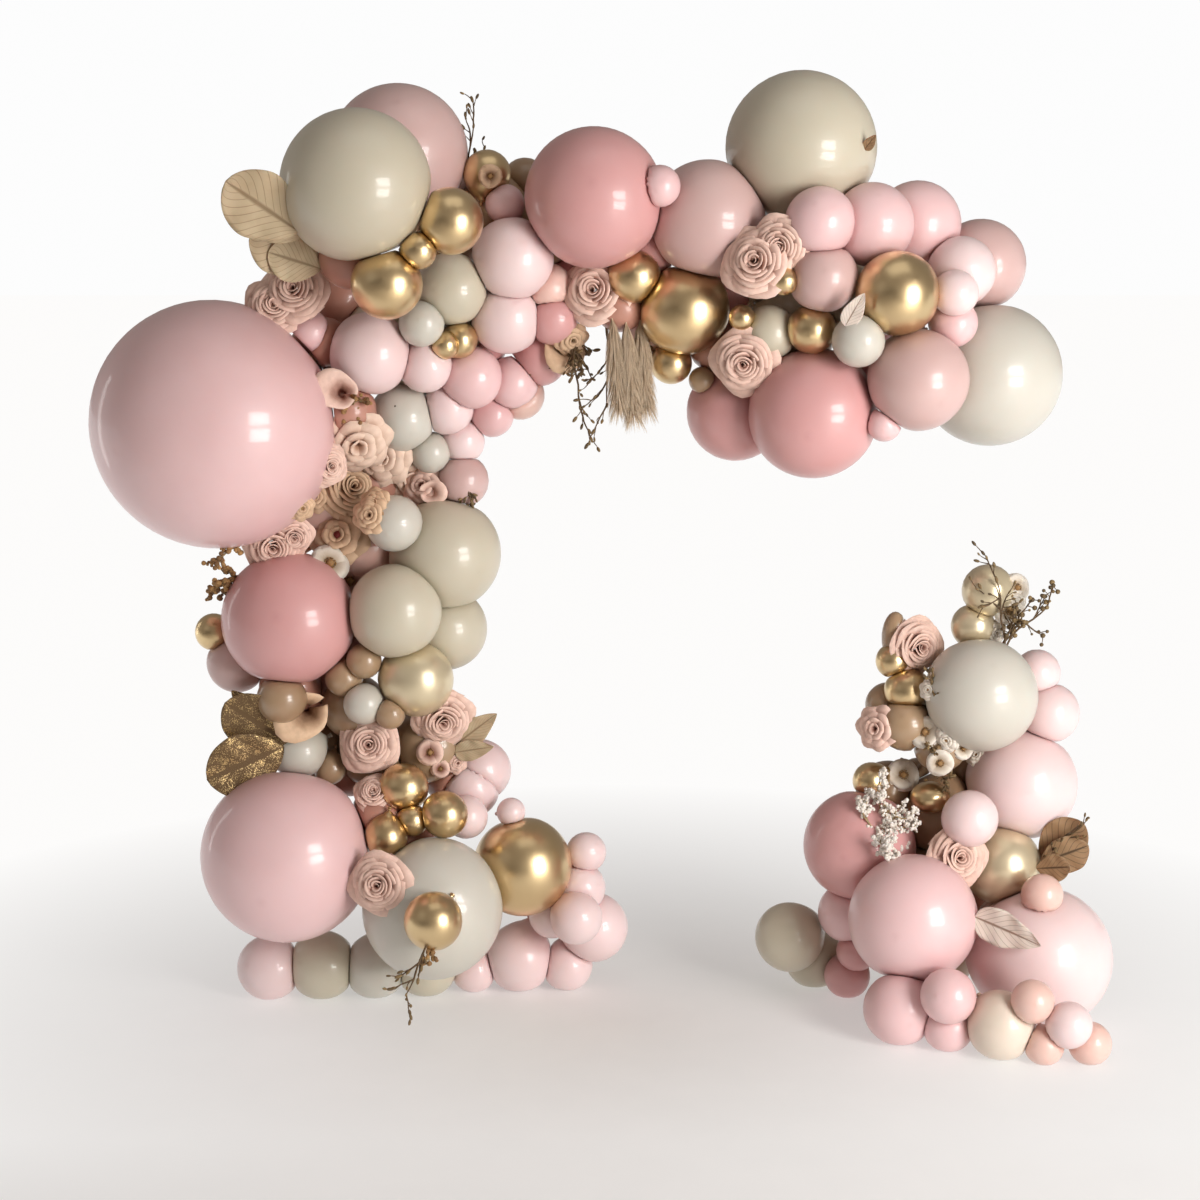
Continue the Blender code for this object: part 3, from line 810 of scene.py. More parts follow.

# %% [markdown]
# The roses are paper or shaved wood: a long petal strip wound into a tight bud, then petals that
# open, each with a rolled rim that comes to a point. Each petal is a small curved sheet: it rises
# from the middle, leans out, and its rim rolls back. Deep folds lie in shade, so each petal carries
# how near its rim a point is, and the paper's colour follows that as painted shade, darker towards
# the root, and as a painted highlight, paler on the rolled rim.


# %% Paper finishes
def paper(name, root, rim):
    finish = Finish(name, subsurface_weight=0.05, subsurface_scale=0.004)
    finish.shader.inputs["Subsurface Radius"].default_value = (1.0, 0.55, 0.35)
    cloud = finish.noise(70.0, 3.0)
    # Painted shade and highlight: the colour runs from the root colour to the rim colour with the mesh's
    # rim number. On petals this is painted shade deep in the flower and a painted highlight on the rims,
    # and on pampas hairs painted shade near the stalk. On seeds and buds it is only tone, fixed on buttons
    # and varying at random on grains, buds and specks, and on stems one fixed value.
    finish.feed("Base Color", finish.mix(finish.value("rim") + (cloud - 0.5) * 0.5, root, rim))
    fibre = finish.noise(260.0, 4.0)
    finish.feed("Roughness", fibre * 0.2 + 0.6)
    finish.bump(fibre, 0.35, 0.0006)
    return finish


# In both papers the root colour is painted shade deep in the flower and the rim colour a painted highlight
# on the rolled rims.
ROSE_PAPER = paper("rose_paper", paint(128, 74, 56), paint(242, 208, 192))
TAN_PAPER = paper("tan_paper", paint(110, 72, 46), paint(228, 194, 160))
print("papers", ROSE_PAPER.material.name, TAN_PAPER.material.name)

# %% One petal
# The share of a petal's height at which its rim starts to roll back
ROLLS_FROM = 0.72
# The width of the rim's point, in half petals
POINT = 0.35


def petal(turn, wide, out, up, roll, tip, chance, across=11, along=7):
    """One curved petal about the flower's own axis: its points, faces and nearness to the rim."""
    side = np.linspace(-1, 1, across)[None, :]
    rise = np.linspace(0, 1, along)[:, None] ** 0.8
    over = np.clip((rise - ROLLS_FROM) / (1 - ROLLS_FROM), 0, 1)
    lean = chance.uniform(-0.04, 0.04)
    reach = out[0] + (out[1] - out[0]) * rise ** 1.4
    reach = reach + roll * over ** 1.5 * (0.7 + tip * np.exp(-(side / POINT) ** 2))
    ripple = np.sin(side * 5 + chance.uniform(0, 6)) * 0.012 * rise
    height = up[0] + (up[1] - up[0] + lean) * rise ** 0.75
    droop = 0.30 * abs(side) ** 2.5 * rise + 0.9 * over ** 2 * roll
    height = height - droop * (1 + lean) + ripple
    angle = turn + side * wide * math.pi * (1 - 0.25 * (1 - rise))
    points = about_axis(reach, angle, height).reshape(-1, 3)
    return points, sheet_faces(along, across), np.repeat(rise ** 2.6, across)


def gather(parts):
    """Several small meshes as one."""
    points, faces, values = [], [], []
    for some_points, some_faces, some_values in parts:
        start = sum(len(each) for each in points)
        points.append(some_points)
        faces += [tuple(corner + start for corner in face) for face in some_faces]
        values.append(some_values)
    return np.concatenate(points), faces, np.concatenate(values)


def turned(form, radius, centre, facing, spin=0.0):
    """A form about an axis, made as large as asked, turned to face a way, and put in place."""
    matrix = Vector(facing).normalized().to_track_quat("Z", "Y").to_matrix() @ Matrix.Rotation(spin, 3, "Z")
    return form[0] * radius @ np.array(matrix).T + np.array(centre), form[1], form[2]


print("a petal needs its turn, width, reach, height, roll and tip")

# %% A whole rose
# Each row is one ring of petals, in shares of the rose's radius: how many petals, how wide each
# is in turns, where its root and rim lie, how high they stand, how far the rim rolls out, and
# how much of that roll gathers into a point
ROSE_RINGS = (
    (1, 0.90, (0.02, 0.07), (0.00, 0.42), 0.02, 0.0),
    (2, 0.66, (0.05, 0.16), (-0.05, 0.46), 0.03, 0.0),
    (2, 0.64, (0.10, 0.26), (-0.08, 0.47), 0.04, 0.0),
    (2, 0.62, (0.15, 0.37), (-0.12, 0.45), 0.05, 0.0),
    (3, 0.46, (0.20, 0.48), (-0.16, 0.41), 0.06, 0.2),
    (3, 0.45, (0.24, 0.59), (-0.20, 0.36), 0.07, 0.2),
    (3, 0.44, (0.26, 0.70), (-0.24, 0.28), 0.09, 0.4),
    (4, 0.36, (0.26, 0.82), (-0.30, 0.18), 0.11, 0.6),
    (4, 0.35, (0.24, 0.94), (-0.36, 0.04), 0.13, 1.1),
)

def rose_form(seed, rings=ROSE_RINGS):
    chance = np.random.default_rng(seed)
    petals = []
    start = 0.0
    for count, wide, out, up, roll, tip in rings:
        start += chance.uniform(0.5, 1.2)
        for number in range(count):
            turn = start + 2 * math.pi * number / count + chance.uniform(-0.12, 0.12)
            petals.append(petal(turn, wide, out, up, roll * chance.uniform(0.8, 1.2), tip, chance))
    return gather(petals)


def thicken(piece, thickness):
    """Give a paper sheet its thickness."""
    sheet = piece.modifiers.new("paper_thickness", "SOLIDIFY")
    sheet.thickness = thickness
    sheet.offset = 0.0


print("petals of a rose", sum(ring[0] for ring in ROSE_RINGS))

# %% [markdown]
# The frame's roses are plain turned blocks with six sides and a bud that comes to a tip. That tip
# is the one corner with six others evenly round it and behind it, and its distance to them gives
# the rose's radius. So each rose head is found from its tip.

# %% Find the roses in the frame
ROSE_SIDES = 6
# The ring round the tip lies this far out, and the tip this far forward, in radii
TIP_RING = 0.40
TIP_FORWARD = 0.54
EVENLY = 0.001


def find_roses(name):
    """The centre and radius of each rose head of a node, from the tip of its bud."""
    points, triangles = node_mesh(name)
    beside = {}
    for triangle in triangles:
        for corner in triangle:
            beside.setdefault(corner, set()).update(triangle)
    heads = []
    for corner, near in beside.items():
        ring = points[[each for each in near if each != corner]]
        if len(ring) == ROSE_SIDES and (ring[:, 1] > points[corner][1] + EVENLY).all():
            spread = np.hypot(ring[:, 0] - points[corner][0], ring[:, 2] - points[corner][2])
            if spread.std() < EVENLY:
                radius = float(spread.mean()) / TIP_RING
                heads.append((points[corner] + np.array((0.0, TIP_FORWARD * radius, 0.0)), radius))
    return heads


print("the foot rose's radius", round(find_roses("rose_foot")[0][1], 4))

# %% Roses in place of the frame's blocks
PAPER_THICKNESS = 0.0009
# The open petals reach a little past the solid that stands for them
ROSE_SPREAD = 1.06
# How far a rose turns away from what is behind it
TURNS_AWAY = 0.35
FORWARD = np.array((0.0, -1.0, 0.0))
PAPER_NODES = [node for node, slot in slots.items() if slot == "paper"]
for number, node in enumerate(PAPER_NODES):
    heads = []
    for head, (centre, radius) in enumerate(find_roses(node)):
        behind = min(balloons, key=lambda each: np.linalg.norm(each["centre"] - centre) - each["radius"])
        away = (centre - behind["centre"]) / np.linalg.norm(centre - behind["centre"])
        form = rose_form(100 + 7 * number + head)
        heads.append(turned(form, radius * ROSE_SPREAD, centre, FORWARD + TURNS_AWAY * away))
    points, faces, rims = gather(heads)
    rose = as_piece(f"{node}_petals", points, faces, [ROSE_PAPER], values={"rim": rims})
    thicken(rose, PAPER_THICKNESS)
    hand_over(rose, node)
    print(node, len(heads), "heads")

# %% [markdown]
# Everything that is stuck between the balloons is placed by where it shows in the picture. A ray
# from the camera through that pixel meets a balloon, and the flower sits on it there. Where the
# ray passes by, the flower sits on the nearest balloon's edge, so nothing hangs in the air.


# %% Find what carries a flower
def carried(across, down):
    """The point of the garland that shows at a pixel, and the way its surface faces."""
    origin = np.array(CAMERA_AT)
    direction = np.array(ray(across, down))
    best = None
    for each in balloons:
        along = (each["centre"] - origin) @ direction
        aside = each["centre"] - origin - direction * along
        miss = np.linalg.norm(aside) - each["radius"]
        if miss < 0:
            depth = along - math.sqrt(each["radius"] ** 2 - aside @ aside)
            rank = (0, depth)
            place = origin + direction * depth
        else:
            rank = (1, miss)
            place = each["centre"] - aside / np.linalg.norm(aside) * each["radius"]
        if best is None or rank < best[0]:
            best = (rank, place, (place - each["centre"]) / each["radius"])
    return best[1], best[2]


def foot_and_tip(foot_across, foot_down, tip_across, tip_down, nearer):
    """Where a stem or leaf starts on the garland, where it ends, and the surface's way there."""
    origin = np.array(CAMERA_AT)
    foot, outward = carried(foot_across, foot_down)
    depth = (foot - origin) @ np.array(ray(foot_across, foot_down))
    return foot, origin + np.array(ray(tip_across, tip_down)) * (depth - nearer), outward


print("the middle pixel meets", carried(PICTURE / 2, PICTURE / 2)[0].round(3))

# %% Seat and plant a flower
# The lowest that anything planted may reach
LOWEST = 0.001


def seat(across, down, pixels, lift, toward_camera=0.6):
    """Where a flower of this size in the picture sits, its radius, and the way it faces."""
    place, outward = carried(across, down)
    away = np.array(CAMERA_AT) - place
    depth = np.linalg.norm(away)
    radius = pixels * depth / FOCAL_PIXELS
    facing = outward * (1 - toward_camera) + away / depth * toward_camera
    facing = facing / np.linalg.norm(facing)
    centre = place + facing * radius * lift
    centre[2] = max(centre[2], radius)
    return centre, radius, facing


def plant(name, parts, finish, thickness=None):
    """One dried flower or spray as a piece of its own, nowhere lower than the floor."""
    points, faces, rims = gather(parts)
    points[:, 2] = np.maximum(points[:, 2], LOWEST)
    piece = as_piece(name, points, faces, [finish], values={"rim": rims})
    if thickness:
        thicken(piece, thickness)
    hand_over(piece)


# name, across, down, radius in the picture, paper
LOOSE_ROSES = (
    ("rose_tan_large", 350, 488, 33, TAN_PAPER), ("rose_tan_small", 327, 465, 20, ROSE_PAPER),
    ("rose_side_column", 927, 650, 28, ROSE_PAPER), ("rose_foot_back", 374, 794, 19, ROSE_PAPER),
)
for number, (name, across, down, pixels, finish) in enumerate(LOOSE_ROSES):
    place, radius, facing = seat(across, down, pixels, 0.2)
    plant(name, [turned(rose_form(300 + number), radius, place, facing, number)], finish, PAPER_THICKNESS)
print("loose roses", len(LOOSE_ROSES))

# %% [markdown]
# Other blooms are the same petals set another way. A ruffled bloom has wide rings whose rims
# ripple. An anemone is one flat ring of broad petals around a button of seeds. A calla is a single
# sheet rolled into a trumpet, open on one side, with a pointed lip that curls back.

# %% Petals of other blooms
RUFFLED_RINGS = (
    (4, 0.50, (0.03, 0.22), (-0.05, 0.40), 0.05, 0.3),
    (5, 0.42, (0.06, 0.40), (-0.10, 0.42), 0.10, 0.6),
    (6, 0.34, (0.08, 0.62), (-0.16, 0.32), 0.14, 0.9),
    (7, 0.28, (0.10, 0.84), (-0.22, 0.12), 0.18, 0.9),
)
ANEMONE_RINGS = (
    (3, 0.46, (0.10, 0.80), (-0.06, 0.22), 0.10, 0.3),
    (3, 0.46, (0.12, 0.88), (-0.10, 0.12), 0.12, 0.3),
)
# As on the roses, each petal's root colour is painted shade and its rim colour a painted highlight; the
# seed colours are tone only.
WHITE_PETAL = paper("white_petal", paint(176, 156, 130), paint(238, 230, 218))
BLUSH_PETAL = paper("blush_petal", paint(168, 128, 104), paint(238, 210, 190))
RED_SEED = paper("red_seed", paint(70, 12, 10), paint(128, 34, 26))
BROWN_SEED = paper("brown_seed", paint(96, 66, 38), paint(176, 136, 84))


def calla_form(seed, across=21, along=12):
    """A trumpet that is open on one side, about its own axis."""
    turn = np.linspace(-0.94, 0.94, across)[None, :] * math.pi
    rise = np.linspace(0, 1, along)[:, None]
    lip = np.exp(-(turn / 1.1) ** 2)
    curl = np.clip((rise - 0.75) / 0.25, 0, 1) ** 2
    ripple = 0.03 * np.sin(turn * 4 + np.random.default_rng(seed).uniform(0, 6)) * rise
    out = 0.10 + 0.62 * rise ** 1.8 * (0.65 + 0.55 * lip) + ripple + 0.22 * curl * (0.5 + lip)
    height = -0.9 + 1.35 * rise * (0.80 + 0.30 * lip) - 0.16 * curl * (0.4 + lip)
    points = about_axis(out, turn, height).reshape(-1, 3)
    return points, sheet_faces(along, across), np.repeat(rise ** 1.6, across)


print("petals", sum(ring[0] for ring in RUFFLED_RINGS), "ruffled,",
      sum(ring[0] for ring in ANEMONE_RINGS), "anemone")

# %% [markdown]
# At the middle of many blooms is a button of seeds: one low ball with a ring of grains around it.
# The same slightly ribbed ball serves for buds, seeds and specks on the sprays later.

# %% Seeds
RIBBED = 0.10
GRAINS = 14
# The turn that sets each grain well apart from the last
GRAIN_TURN = 2.4
GRAIN_RING = 0.26


def ball_form(centre, radius, sides, rings, value=0.6):
    """A small seed or bud: slightly ribbed, so that it is no plain ball."""
    turn = np.linspace(0, 2 * math.pi, sides, endpoint=False)
    tilt = np.linspace(0.02, math.pi - 0.02, rings)[:, None]
    out = np.sin(tilt) * (1 + RIBBED * np.cos(turn * 4))
    points = about_axis(out, turn, np.cos(tilt)).reshape(-1, 3)
    return points * radius + np.array(centre), band_faces(rings, sides), np.full(sides * rings, value)


def seed_button():
    """A button and its grains, as forms about the flower's axis."""
    forms = [ball_form((0, 0, 0.10), 0.20, 12, 9)]
    for grain in range(GRAINS):
        angle = grain * GRAIN_TURN
        at = (GRAIN_RING * math.cos(angle), GRAIN_RING * math.sin(angle), 0.12)
        forms.append(ball_form(at, 0.045, 6, 4))
    return forms


print("seeds in a button", len(seed_button()))

# %% Ruffled blooms, anemones and callas
# name, across, down, radius, kind, paper, and the seed at its middle
BLOOMS = (
    ("bloom_corner_ruffled", 356, 438, 34, "ruffled", BLUSH_PETAL, None),
    ("bloom_corner_open", 408, 472, 32, "ruffled", BLUSH_PETAL, None),
    ("bloom_corner_low", 384, 456, 28, "ruffled", BLUSH_PETAL, None),
    ("bloom_corner_side", 424, 486, 22, "ruffled", ROSE_PAPER, None),
    ("bloom_corner_bud", 316, 497, 15, "ruffled", TAN_PAPER, None),
    ("bloom_corner_back", 300, 506, 14, "ruffled", TAN_PAPER, BROWN_SEED),
    ("bloom_corner_deep", 372, 516, 18, "ruffled", TAN_PAPER, None),
    ("bloom_corner_tip", 430, 492, 16, "calla", ROSE_PAPER, None),
    ("bloom_corner_seed", 376, 505, 16, "ruffled", TAN_PAPER, BROWN_SEED),
    ("bloom_waist_small", 430, 752, 14, "anemone", ROSE_PAPER, BROWN_SEED),
    ("bloom_waist_tip", 456, 762, 11, "ruffled", ROSE_PAPER, None),
    ("bloom_waist_low", 440, 768, 10, "anemone", ROSE_PAPER, BROWN_SEED),
    ("bloom_red_heart", 341, 536, 29, "ruffled", TAN_PAPER, RED_SEED),
    ("bloom_column_small", 300, 530, 24, "ruffled", TAN_PAPER, BROWN_SEED),
    ("bloom_column_low", 328, 566, 21, "anemone", WHITE_PETAL, BROWN_SEED),
    ("bloom_column_tip", 350, 579, 18, "anemone", ROSE_PAPER, BROWN_SEED),
    ("bloom_side_ruffled", 880, 728, 22, "ruffled", ROSE_PAPER, None),
    ("anemone_side_large", 926, 733, 17, "anemone", WHITE_PETAL, BROWN_SEED),
    ("anemone_side_low", 902, 776, 17, "anemone", WHITE_PETAL, BROWN_SEED),
    ("anemone_side_small", 940, 762, 14, "anemone", WHITE_PETAL, BROWN_SEED),
    ("anemone_side_leaf", 962, 748, 12, "anemone", WHITE_PETAL, BROWN_SEED),
    ("anemone_tip_large", 1016, 616, 17, "anemone", WHITE_PETAL, BROWN_SEED),
    ("anemone_tip_small", 1032, 586, 15, "anemone", WHITE_PETAL, BROWN_SEED),
    ("anemone_tip_low", 1000, 634, 12, "ruffled", WHITE_PETAL, None),
    ("anemone_tip_right", 1032, 606, 13, "ruffled", WHITE_PETAL, BROWN_SEED),
    ("bloom_side_dark", 948, 738, 13, "ruffled", WHITE_PETAL, BROWN_SEED),
    ("bloom_side_end", 978, 756, 11, "ruffled", WHITE_PETAL, BROWN_SEED),
    ("bloom_side_high", 930, 690, 10, "ruffled", WHITE_PETAL, BROWN_SEED),
    ("bloom_foot", 416, 1012, 12, "ruffled", WHITE_PETAL, BROWN_SEED),
    ("flower_top_brown", 490, 176, 12, "anemone", TAN_PAPER, BROWN_SEED),
    ("calla_corner_bud", 322, 367, 20, "calla", TAN_PAPER, None),
    ("calla_corner_open", 342, 394, 26, "calla", ROSE_PAPER, None),
    ("calla_waist", 306, 708, 32, "calla", TAN_PAPER, None),
    ("calla_middle", 562, 344, 28, "calla", TAN_PAPER, None),
    ("bloom_middle", 574, 342, 17, "ruffled", TAN_PAPER, None),
)
RINGS_OF = {"ruffled": RUFFLED_RINGS, "anemone": ANEMONE_RINGS}
# How far off its balloon a bloom sits, in radii, and how far it turns to the camera
SITS = {"ruffled": (0.25, 0.6), "anemone": (0.25, 0.6), "calla": (0.80, 0.85)}
for number, (name, across, down, pixels, kind, finish, seed) in enumerate(BLOOMS):
    place, radius, facing = seat(across, down, pixels, *SITS[kind])
    form = calla_form(number) if kind == "calla" else rose_form(500 + number, RINGS_OF[kind])
    plant(name, [turned(form, radius, place, facing, 0.9 * number)], finish, PAPER_THICKNESS)
    if seed:
        plant(f"{name}_seed", [turned(each, radius, place, facing) for each in seed_button()], seed)
print("blooms", len(BLOOMS))

# %% [markdown]
# Dried twigs, seed sprays and baby's breath are one idea: a stem that forks, and something small
# at each end. The stem is a thin tube along a wandering line. What it carries tells them apart:
# dark buds on twigs, golden seeds on the filler, and white specks on the baby's breath.


# %% A stem as a tube
def tube(path, thick, sides=4):
    """A thin tube along a path, with a thickness at each point."""
    path = np.asarray(path, dtype=float)
    ahead = np.gradient(path, axis=0)
    ahead /= np.linalg.norm(ahead, axis=1)[:, None]
    level = np.cross(ahead, (0.31, 0.22, 0.92))
    level /= np.linalg.norm(level, axis=1)[:, None]
    upward = np.cross(ahead, level)
    turn = np.linspace(0, 2 * math.pi, sides, endpoint=False)
    ring = np.cos(turn)[None, :, None] * level[:, None] + np.sin(turn)[None, :, None] * upward[:, None]
    points = path[:, None] + ring * np.asarray(thick)[:, None, None]
    faces = [(first, *rest[::-1]) for first, *rest in band_faces(len(path), sides)]
    return points.reshape(-1, 3), faces, np.full(len(path) * sides, 0.4)


def bent_path(start, way, length, bend, chance, steps=7):
    """A line that sets off one way and wanders."""
    way = np.array(way, dtype=float) / np.linalg.norm(way)
    points = [np.array(start, dtype=float)]
    for step in range(steps):
        way = way + chance.normal(0, bend, 3)
        way /= np.linalg.norm(way)
        points.append(points[-1] + way * length / steps)
    return np.array(points), way


print("a stem has", len(tube(((0, 0, 0), (0, 0, 1)), (0.1, 0.1))[1]), "faces a step")

# %% Stems that fork
BEND = 0.12
# A side stem's length and thickness, as shares of the stem that it leaves
SIDE_LENGTH, SIDE_THICKNESS = 0.42, 0.70


def spray(start, way, length, thick, forks, spread, fruit, chance, level):
    """A forking stem: its tubes, and what it carries at its ends."""
    stems, ends = [], []
    path, last = bent_path(start, way, length, BEND, chance)
    stems.append(tube(path, np.linspace(thick, thick * 0.5, len(path)), 4 if level else 3))
    for fork in range(forks if level else 0):
        at = path[min(len(path) - 1, 1 + int((len(path) - 1) * (fork + 0.5) / forks))]
        aside = last + chance.normal(0, spread, 3)
        more_stems, more_ends = spray(at, aside, length * SIDE_LENGTH, thick * SIDE_THICKNESS,
                                      forks, spread, fruit, chance, level - 1)
        stems += more_stems
        ends += more_ends
    ends.append(fruit(path[-1], last, chance))
    return stems, ends


print("a side stem is", SIDE_LENGTH, "as long as the stem that it leaves")

# %% What the stems carry
BUD_SIZE, SEED_SIZE, SPECK_SIZE = 0.0052, 0.0046, 0.0036
POINTED = np.array((0.55, 0.55, 1.25))


def bud(place, way, chance):
    """A pointed bud that follows its stem."""
    points, faces, shade = ball_form((0, 0, 0), 1.0, 7, 6, chance.uniform(0.2, 1.0))
    return turned((points * POINTED * BUD_SIZE * chance.uniform(0.7, 1.3), faces, shade), 1.0, place, way)


def seed_grain(place, way, chance):
    return ball_form(place, SEED_SIZE * chance.uniform(0.6, 1.3), 7, 5, chance.uniform(0.1, 1.0))


def speck(place, way, chance):
    return ball_form(place, SPECK_SIZE * chance.uniform(0.6, 1.3), 6, 4, chance.uniform(0.6, 1.0))


BARK = paper("dry_bark", paint(66, 48, 30), paint(124, 98, 66))
BUD = paper("dry_bud", paint(58, 44, 26), paint(136, 112, 74))
BREATH = paper("breath_white", paint(186, 170, 150), paint(240, 234, 226))
STRAW = paper("straw_stem", paint(140, 116, 80), paint(196, 172, 132))
# What a stem carries, its finish, and the stem's
TWIG = (bud, BUD, BARK)
SEEDS = (seed_grain, BROWN_SEED, STRAW)
DARK_SEEDS = (seed_grain, BUD, BARK)
SPECKS = (speck, BREATH, STRAW)
print("stem finishes", [kind[2].material.name for kind in (TWIG, SEEDS, DARK_SEEDS, SPECKS)])

# %% Twigs, fillers and baby's breath
# name, foot across and down, tip across and down, forks, spread, level, what it carries
SPRAYS = (
    ("twig_top", 466, 190, 462, 122, 4, 0.45, 2, TWIG),
    ("twig_middle_left", 588, 335, 578, 412, 4, 0.35, 2, TWIG),
    ("twig_middle_right", 594, 335, 606, 412, 4, 0.35, 2, TWIG),
    ("twig_middle_short", 588, 330, 586, 372, 5, 0.6, 2, TWIG),
    ("twig_middle_thick", 584, 330, 590, 366, 5, 0.8, 2, TWIG),
    ("filler_middle", 640, 330, 655, 358, 4, 0.6, 2, SEEDS),
    ("filler_left_tip", 244, 562, 222, 590, 5, 0.55, 3, SEEDS),
    ("filler_left_low", 240, 568, 216, 575, 5, 0.55, 3, SEEDS),
    ("filler_left_up", 240, 552, 216, 560, 6, 0.55, 2, SEEDS),
    ("filler_left_high", 246, 545, 230, 545, 5, 0.55, 2, SEEDS),
    ("filler_corner", 340, 425, 362, 405, 5, 0.7, 2, SEEDS),
    ("filler_corner_high", 352, 420, 338, 410, 5, 0.7, 2, SEEDS),
    ("filler_right", 380, 420, 386, 408, 4, 0.6, 2, TWIG),
    ("filler_inner", 462, 478, 482, 494, 5, 0.6, 2, TWIG),
    ("filler_rose_low", 306, 505, 292, 497, 4, 0.7, 2, SEEDS),
    ("twig_foot", 428, 945, 408, 1000, 4, 0.35, 2, TWIG),
    ("filler_foot", 430, 950, 425, 968, 4, 0.6, 2, SEEDS),
    ("breath_side_high", 886, 840, 882, 792, 6, 0.7, 3, SPECKS),
    ("breath_side_left", 884, 846, 862, 812, 6, 0.7, 3, SPECKS),
    ("breath_side_middle", 890, 852, 896, 815, 6, 0.8, 3, SPECKS),
    ("breath_side_right", 896, 850, 914, 822, 6, 0.8, 3, SPECKS),
    ("breath_side_low", 890, 862, 880, 838, 6, 0.8, 3, SPECKS),
    ("spray_side_high", 934, 720, 930, 682, 4, 0.4, 2, TWIG),
    ("spray_tip", 1010, 640, 1032, 576, 5, 0.35, 2, TWIG),
    ("spray_tip_low", 1004, 640, 1022, 608, 5, 0.6, 2, DARK_SEEDS),
    ("spray_tip_right", 1010, 640, 1036, 592, 5, 0.6, 2, DARK_SEEDS),
    ("spray_side_dark", 942, 752, 958, 730, 5, 0.7, 2, DARK_SEEDS),
    ("spray_side_low", 935, 770, 944, 788, 5, 0.7, 2, TWIG),
    ("spray_side_middle", 945, 755, 930, 748, 5, 0.7, 2, TWIG),
    ("filler_side", 940, 762, 950, 746, 5, 0.6, 2, SEEDS),
    ("twig_side", 1046, 868, 1072, 824, 4, 0.4, 2, TWIG),
)
STEM_THICKNESS = 0.0030
# The stem starts this deep in its balloon, and its tip comes this much nearer to the camera
STEM_DEEP = 0.01
STEM_NEARER = 0.012
for number, (name, *line, forks, spread, level, (fruit, fruit_finish, stem_finish)) in enumerate(SPRAYS):
    foot, tip, outward = foot_and_tip(*line, STEM_NEARER)
    way = tip - foot
    chance = np.random.default_rng(900 + number)
    stems, ends = spray(foot - outward * STEM_DEEP, way, np.linalg.norm(way), STEM_THICKNESS,
                        forks, spread, fruit, chance, level)
    plant(f"{name}_stem", stems, stem_finish)
    plant(f"{name}_ends", ends, fruit_finish)
print("sprays", len(SPRAYS))

# %% [markdown]
# A pampas plume is a stalk with hundreds of silky hairs that hang one way. Real hair strands would
# be particles, which don't travel with a model. So each hair is a thin three-sided tube that
# leaves the stalk, falls, and tapers to nothing.

# %% Pampas plume
# The root colour is painted shade where the hairs leave the stalk deep in the plume, and the rim colour the
# paler free ends. HAIR_SHADE carries this along each hair, and each hair's random factor is its own tone.
PLUME = paper("pampas_hair", paint(184, 156, 122), paint(240, 222, 196))
HAIRS = 1000
HAIR_THICKNESS = (0.0007, 0.0006, 0.0004, 0.0001)
HAIR_SHADE = np.repeat(np.linspace(0.2, 1.0, len(HAIR_THICKNESS)), 3)
PLUME_NEARER = 0.01
# foot across and down, and tip across and down, of each plume of the bundle
PLUMES = ((612, 318, 620, 414), (626, 322, 634, 422), (640, 320, 646, 414))


def hair(foot, tip, chance):
    """One hair that leaves the stalk somewhere on its length and hangs along it."""
    hang = (tip - foot) / np.linalg.norm(tip - foot)
    share = chance.uniform(0.0, 0.92)
    root = foot + (tip - foot) * share
    aside = chance.normal(0, 1, 3)
    aside -= hang * (aside @ hang)
    aside /= np.linalg.norm(aside)
    long = chance.uniform(0.045, 0.075) * (1 - 0.45 * share)
    fan = 0.30 + 0.30 * share
    path = np.array([root + hang * long * step + aside * long * fan * step ** 0.6
                     for step in np.linspace(0, 1, len(HAIR_THICKNESS))])
    points, faces, shade = tube(path, HAIR_THICKNESS, 3)
    return points, faces, HAIR_SHADE * chance.uniform(0.7, 1.1)


chance = np.random.default_rng(77)
hairs = []
for line in PLUMES:
    foot, tip, outward = foot_and_tip(*line, PLUME_NEARER)
    hairs.append(tube(np.linspace(foot, tip, 9), np.linspace(0.002, 0.0006, 9)))
    hairs += [hair(foot, tip, chance) for number in range(HAIRS)]
plant("pampas_plume", hairs, PLUME)
print("hairs and stalks", len(hairs))

# %% [markdown]
# Leaves are single sheets with a fold along the middle rib and finer ribs that slant off it. The
# mesh carries two numbers to the finish: how far along the ribs a point lies, and how far from the
# middle. From these the finish draws the ribs, dark on the plain leaves. On the glittered ones it
# keeps them dark and covers the rest in gold flecks.

# %% The shape of a leaf
# Half the width, how far the widest place lies from the middle, and how blunt the ends are,
# of a round leaf and of a pointed one
ROUND_LEAF = (0.40, 1.15, 0.6)
POINTED_LEAF = (0.26, 0.62, 0.8)


def leaf_form(curl, ribs, round_tip, chance, along=44, across=15):
    """A leaf of length 1 along X, about the middle rib."""
    rise = np.linspace(0, 1, along)[:, None]
    side = np.linspace(-1, 1, across)[None, :]
    wide, skew, blunt = ROUND_LEAF if round_tip else POINTED_LEAF
    half = wide * np.sin(math.pi * rise ** skew) ** blunt + 0.004
    ruffle = 0.018 * np.sin(rise * 17 + side * 2 + chance.uniform(0, 6)) * abs(side)
    fold = abs(side) * half
    points = np.stack([rise + 0.05 * fold, side * half, curl * rise ** 2 + 0.16 * fold + ruffle], axis=-1)
    rows = (rise - 0.35 * abs(side)) * ribs
    aside = np.repeat(abs(side), along, axis=0)
    return points.reshape(-1, 3), sheet_faces(along, across), rows.reshape(-1), aside.reshape(-1)


print("a round leaf is", 2 * ROUND_LEAF[0], "as wide as long, a pointed one", 2 * POINTED_LEAF[0])

# %% Leaf finishes
# From where to where each kind of rib fades in, and how dark the slanting ones are
SLANTING_RIB = (0.22, 0.08)
MIDDLE_RIB = (0.10, 0.03)
SLANTING_SHADE = 0.75


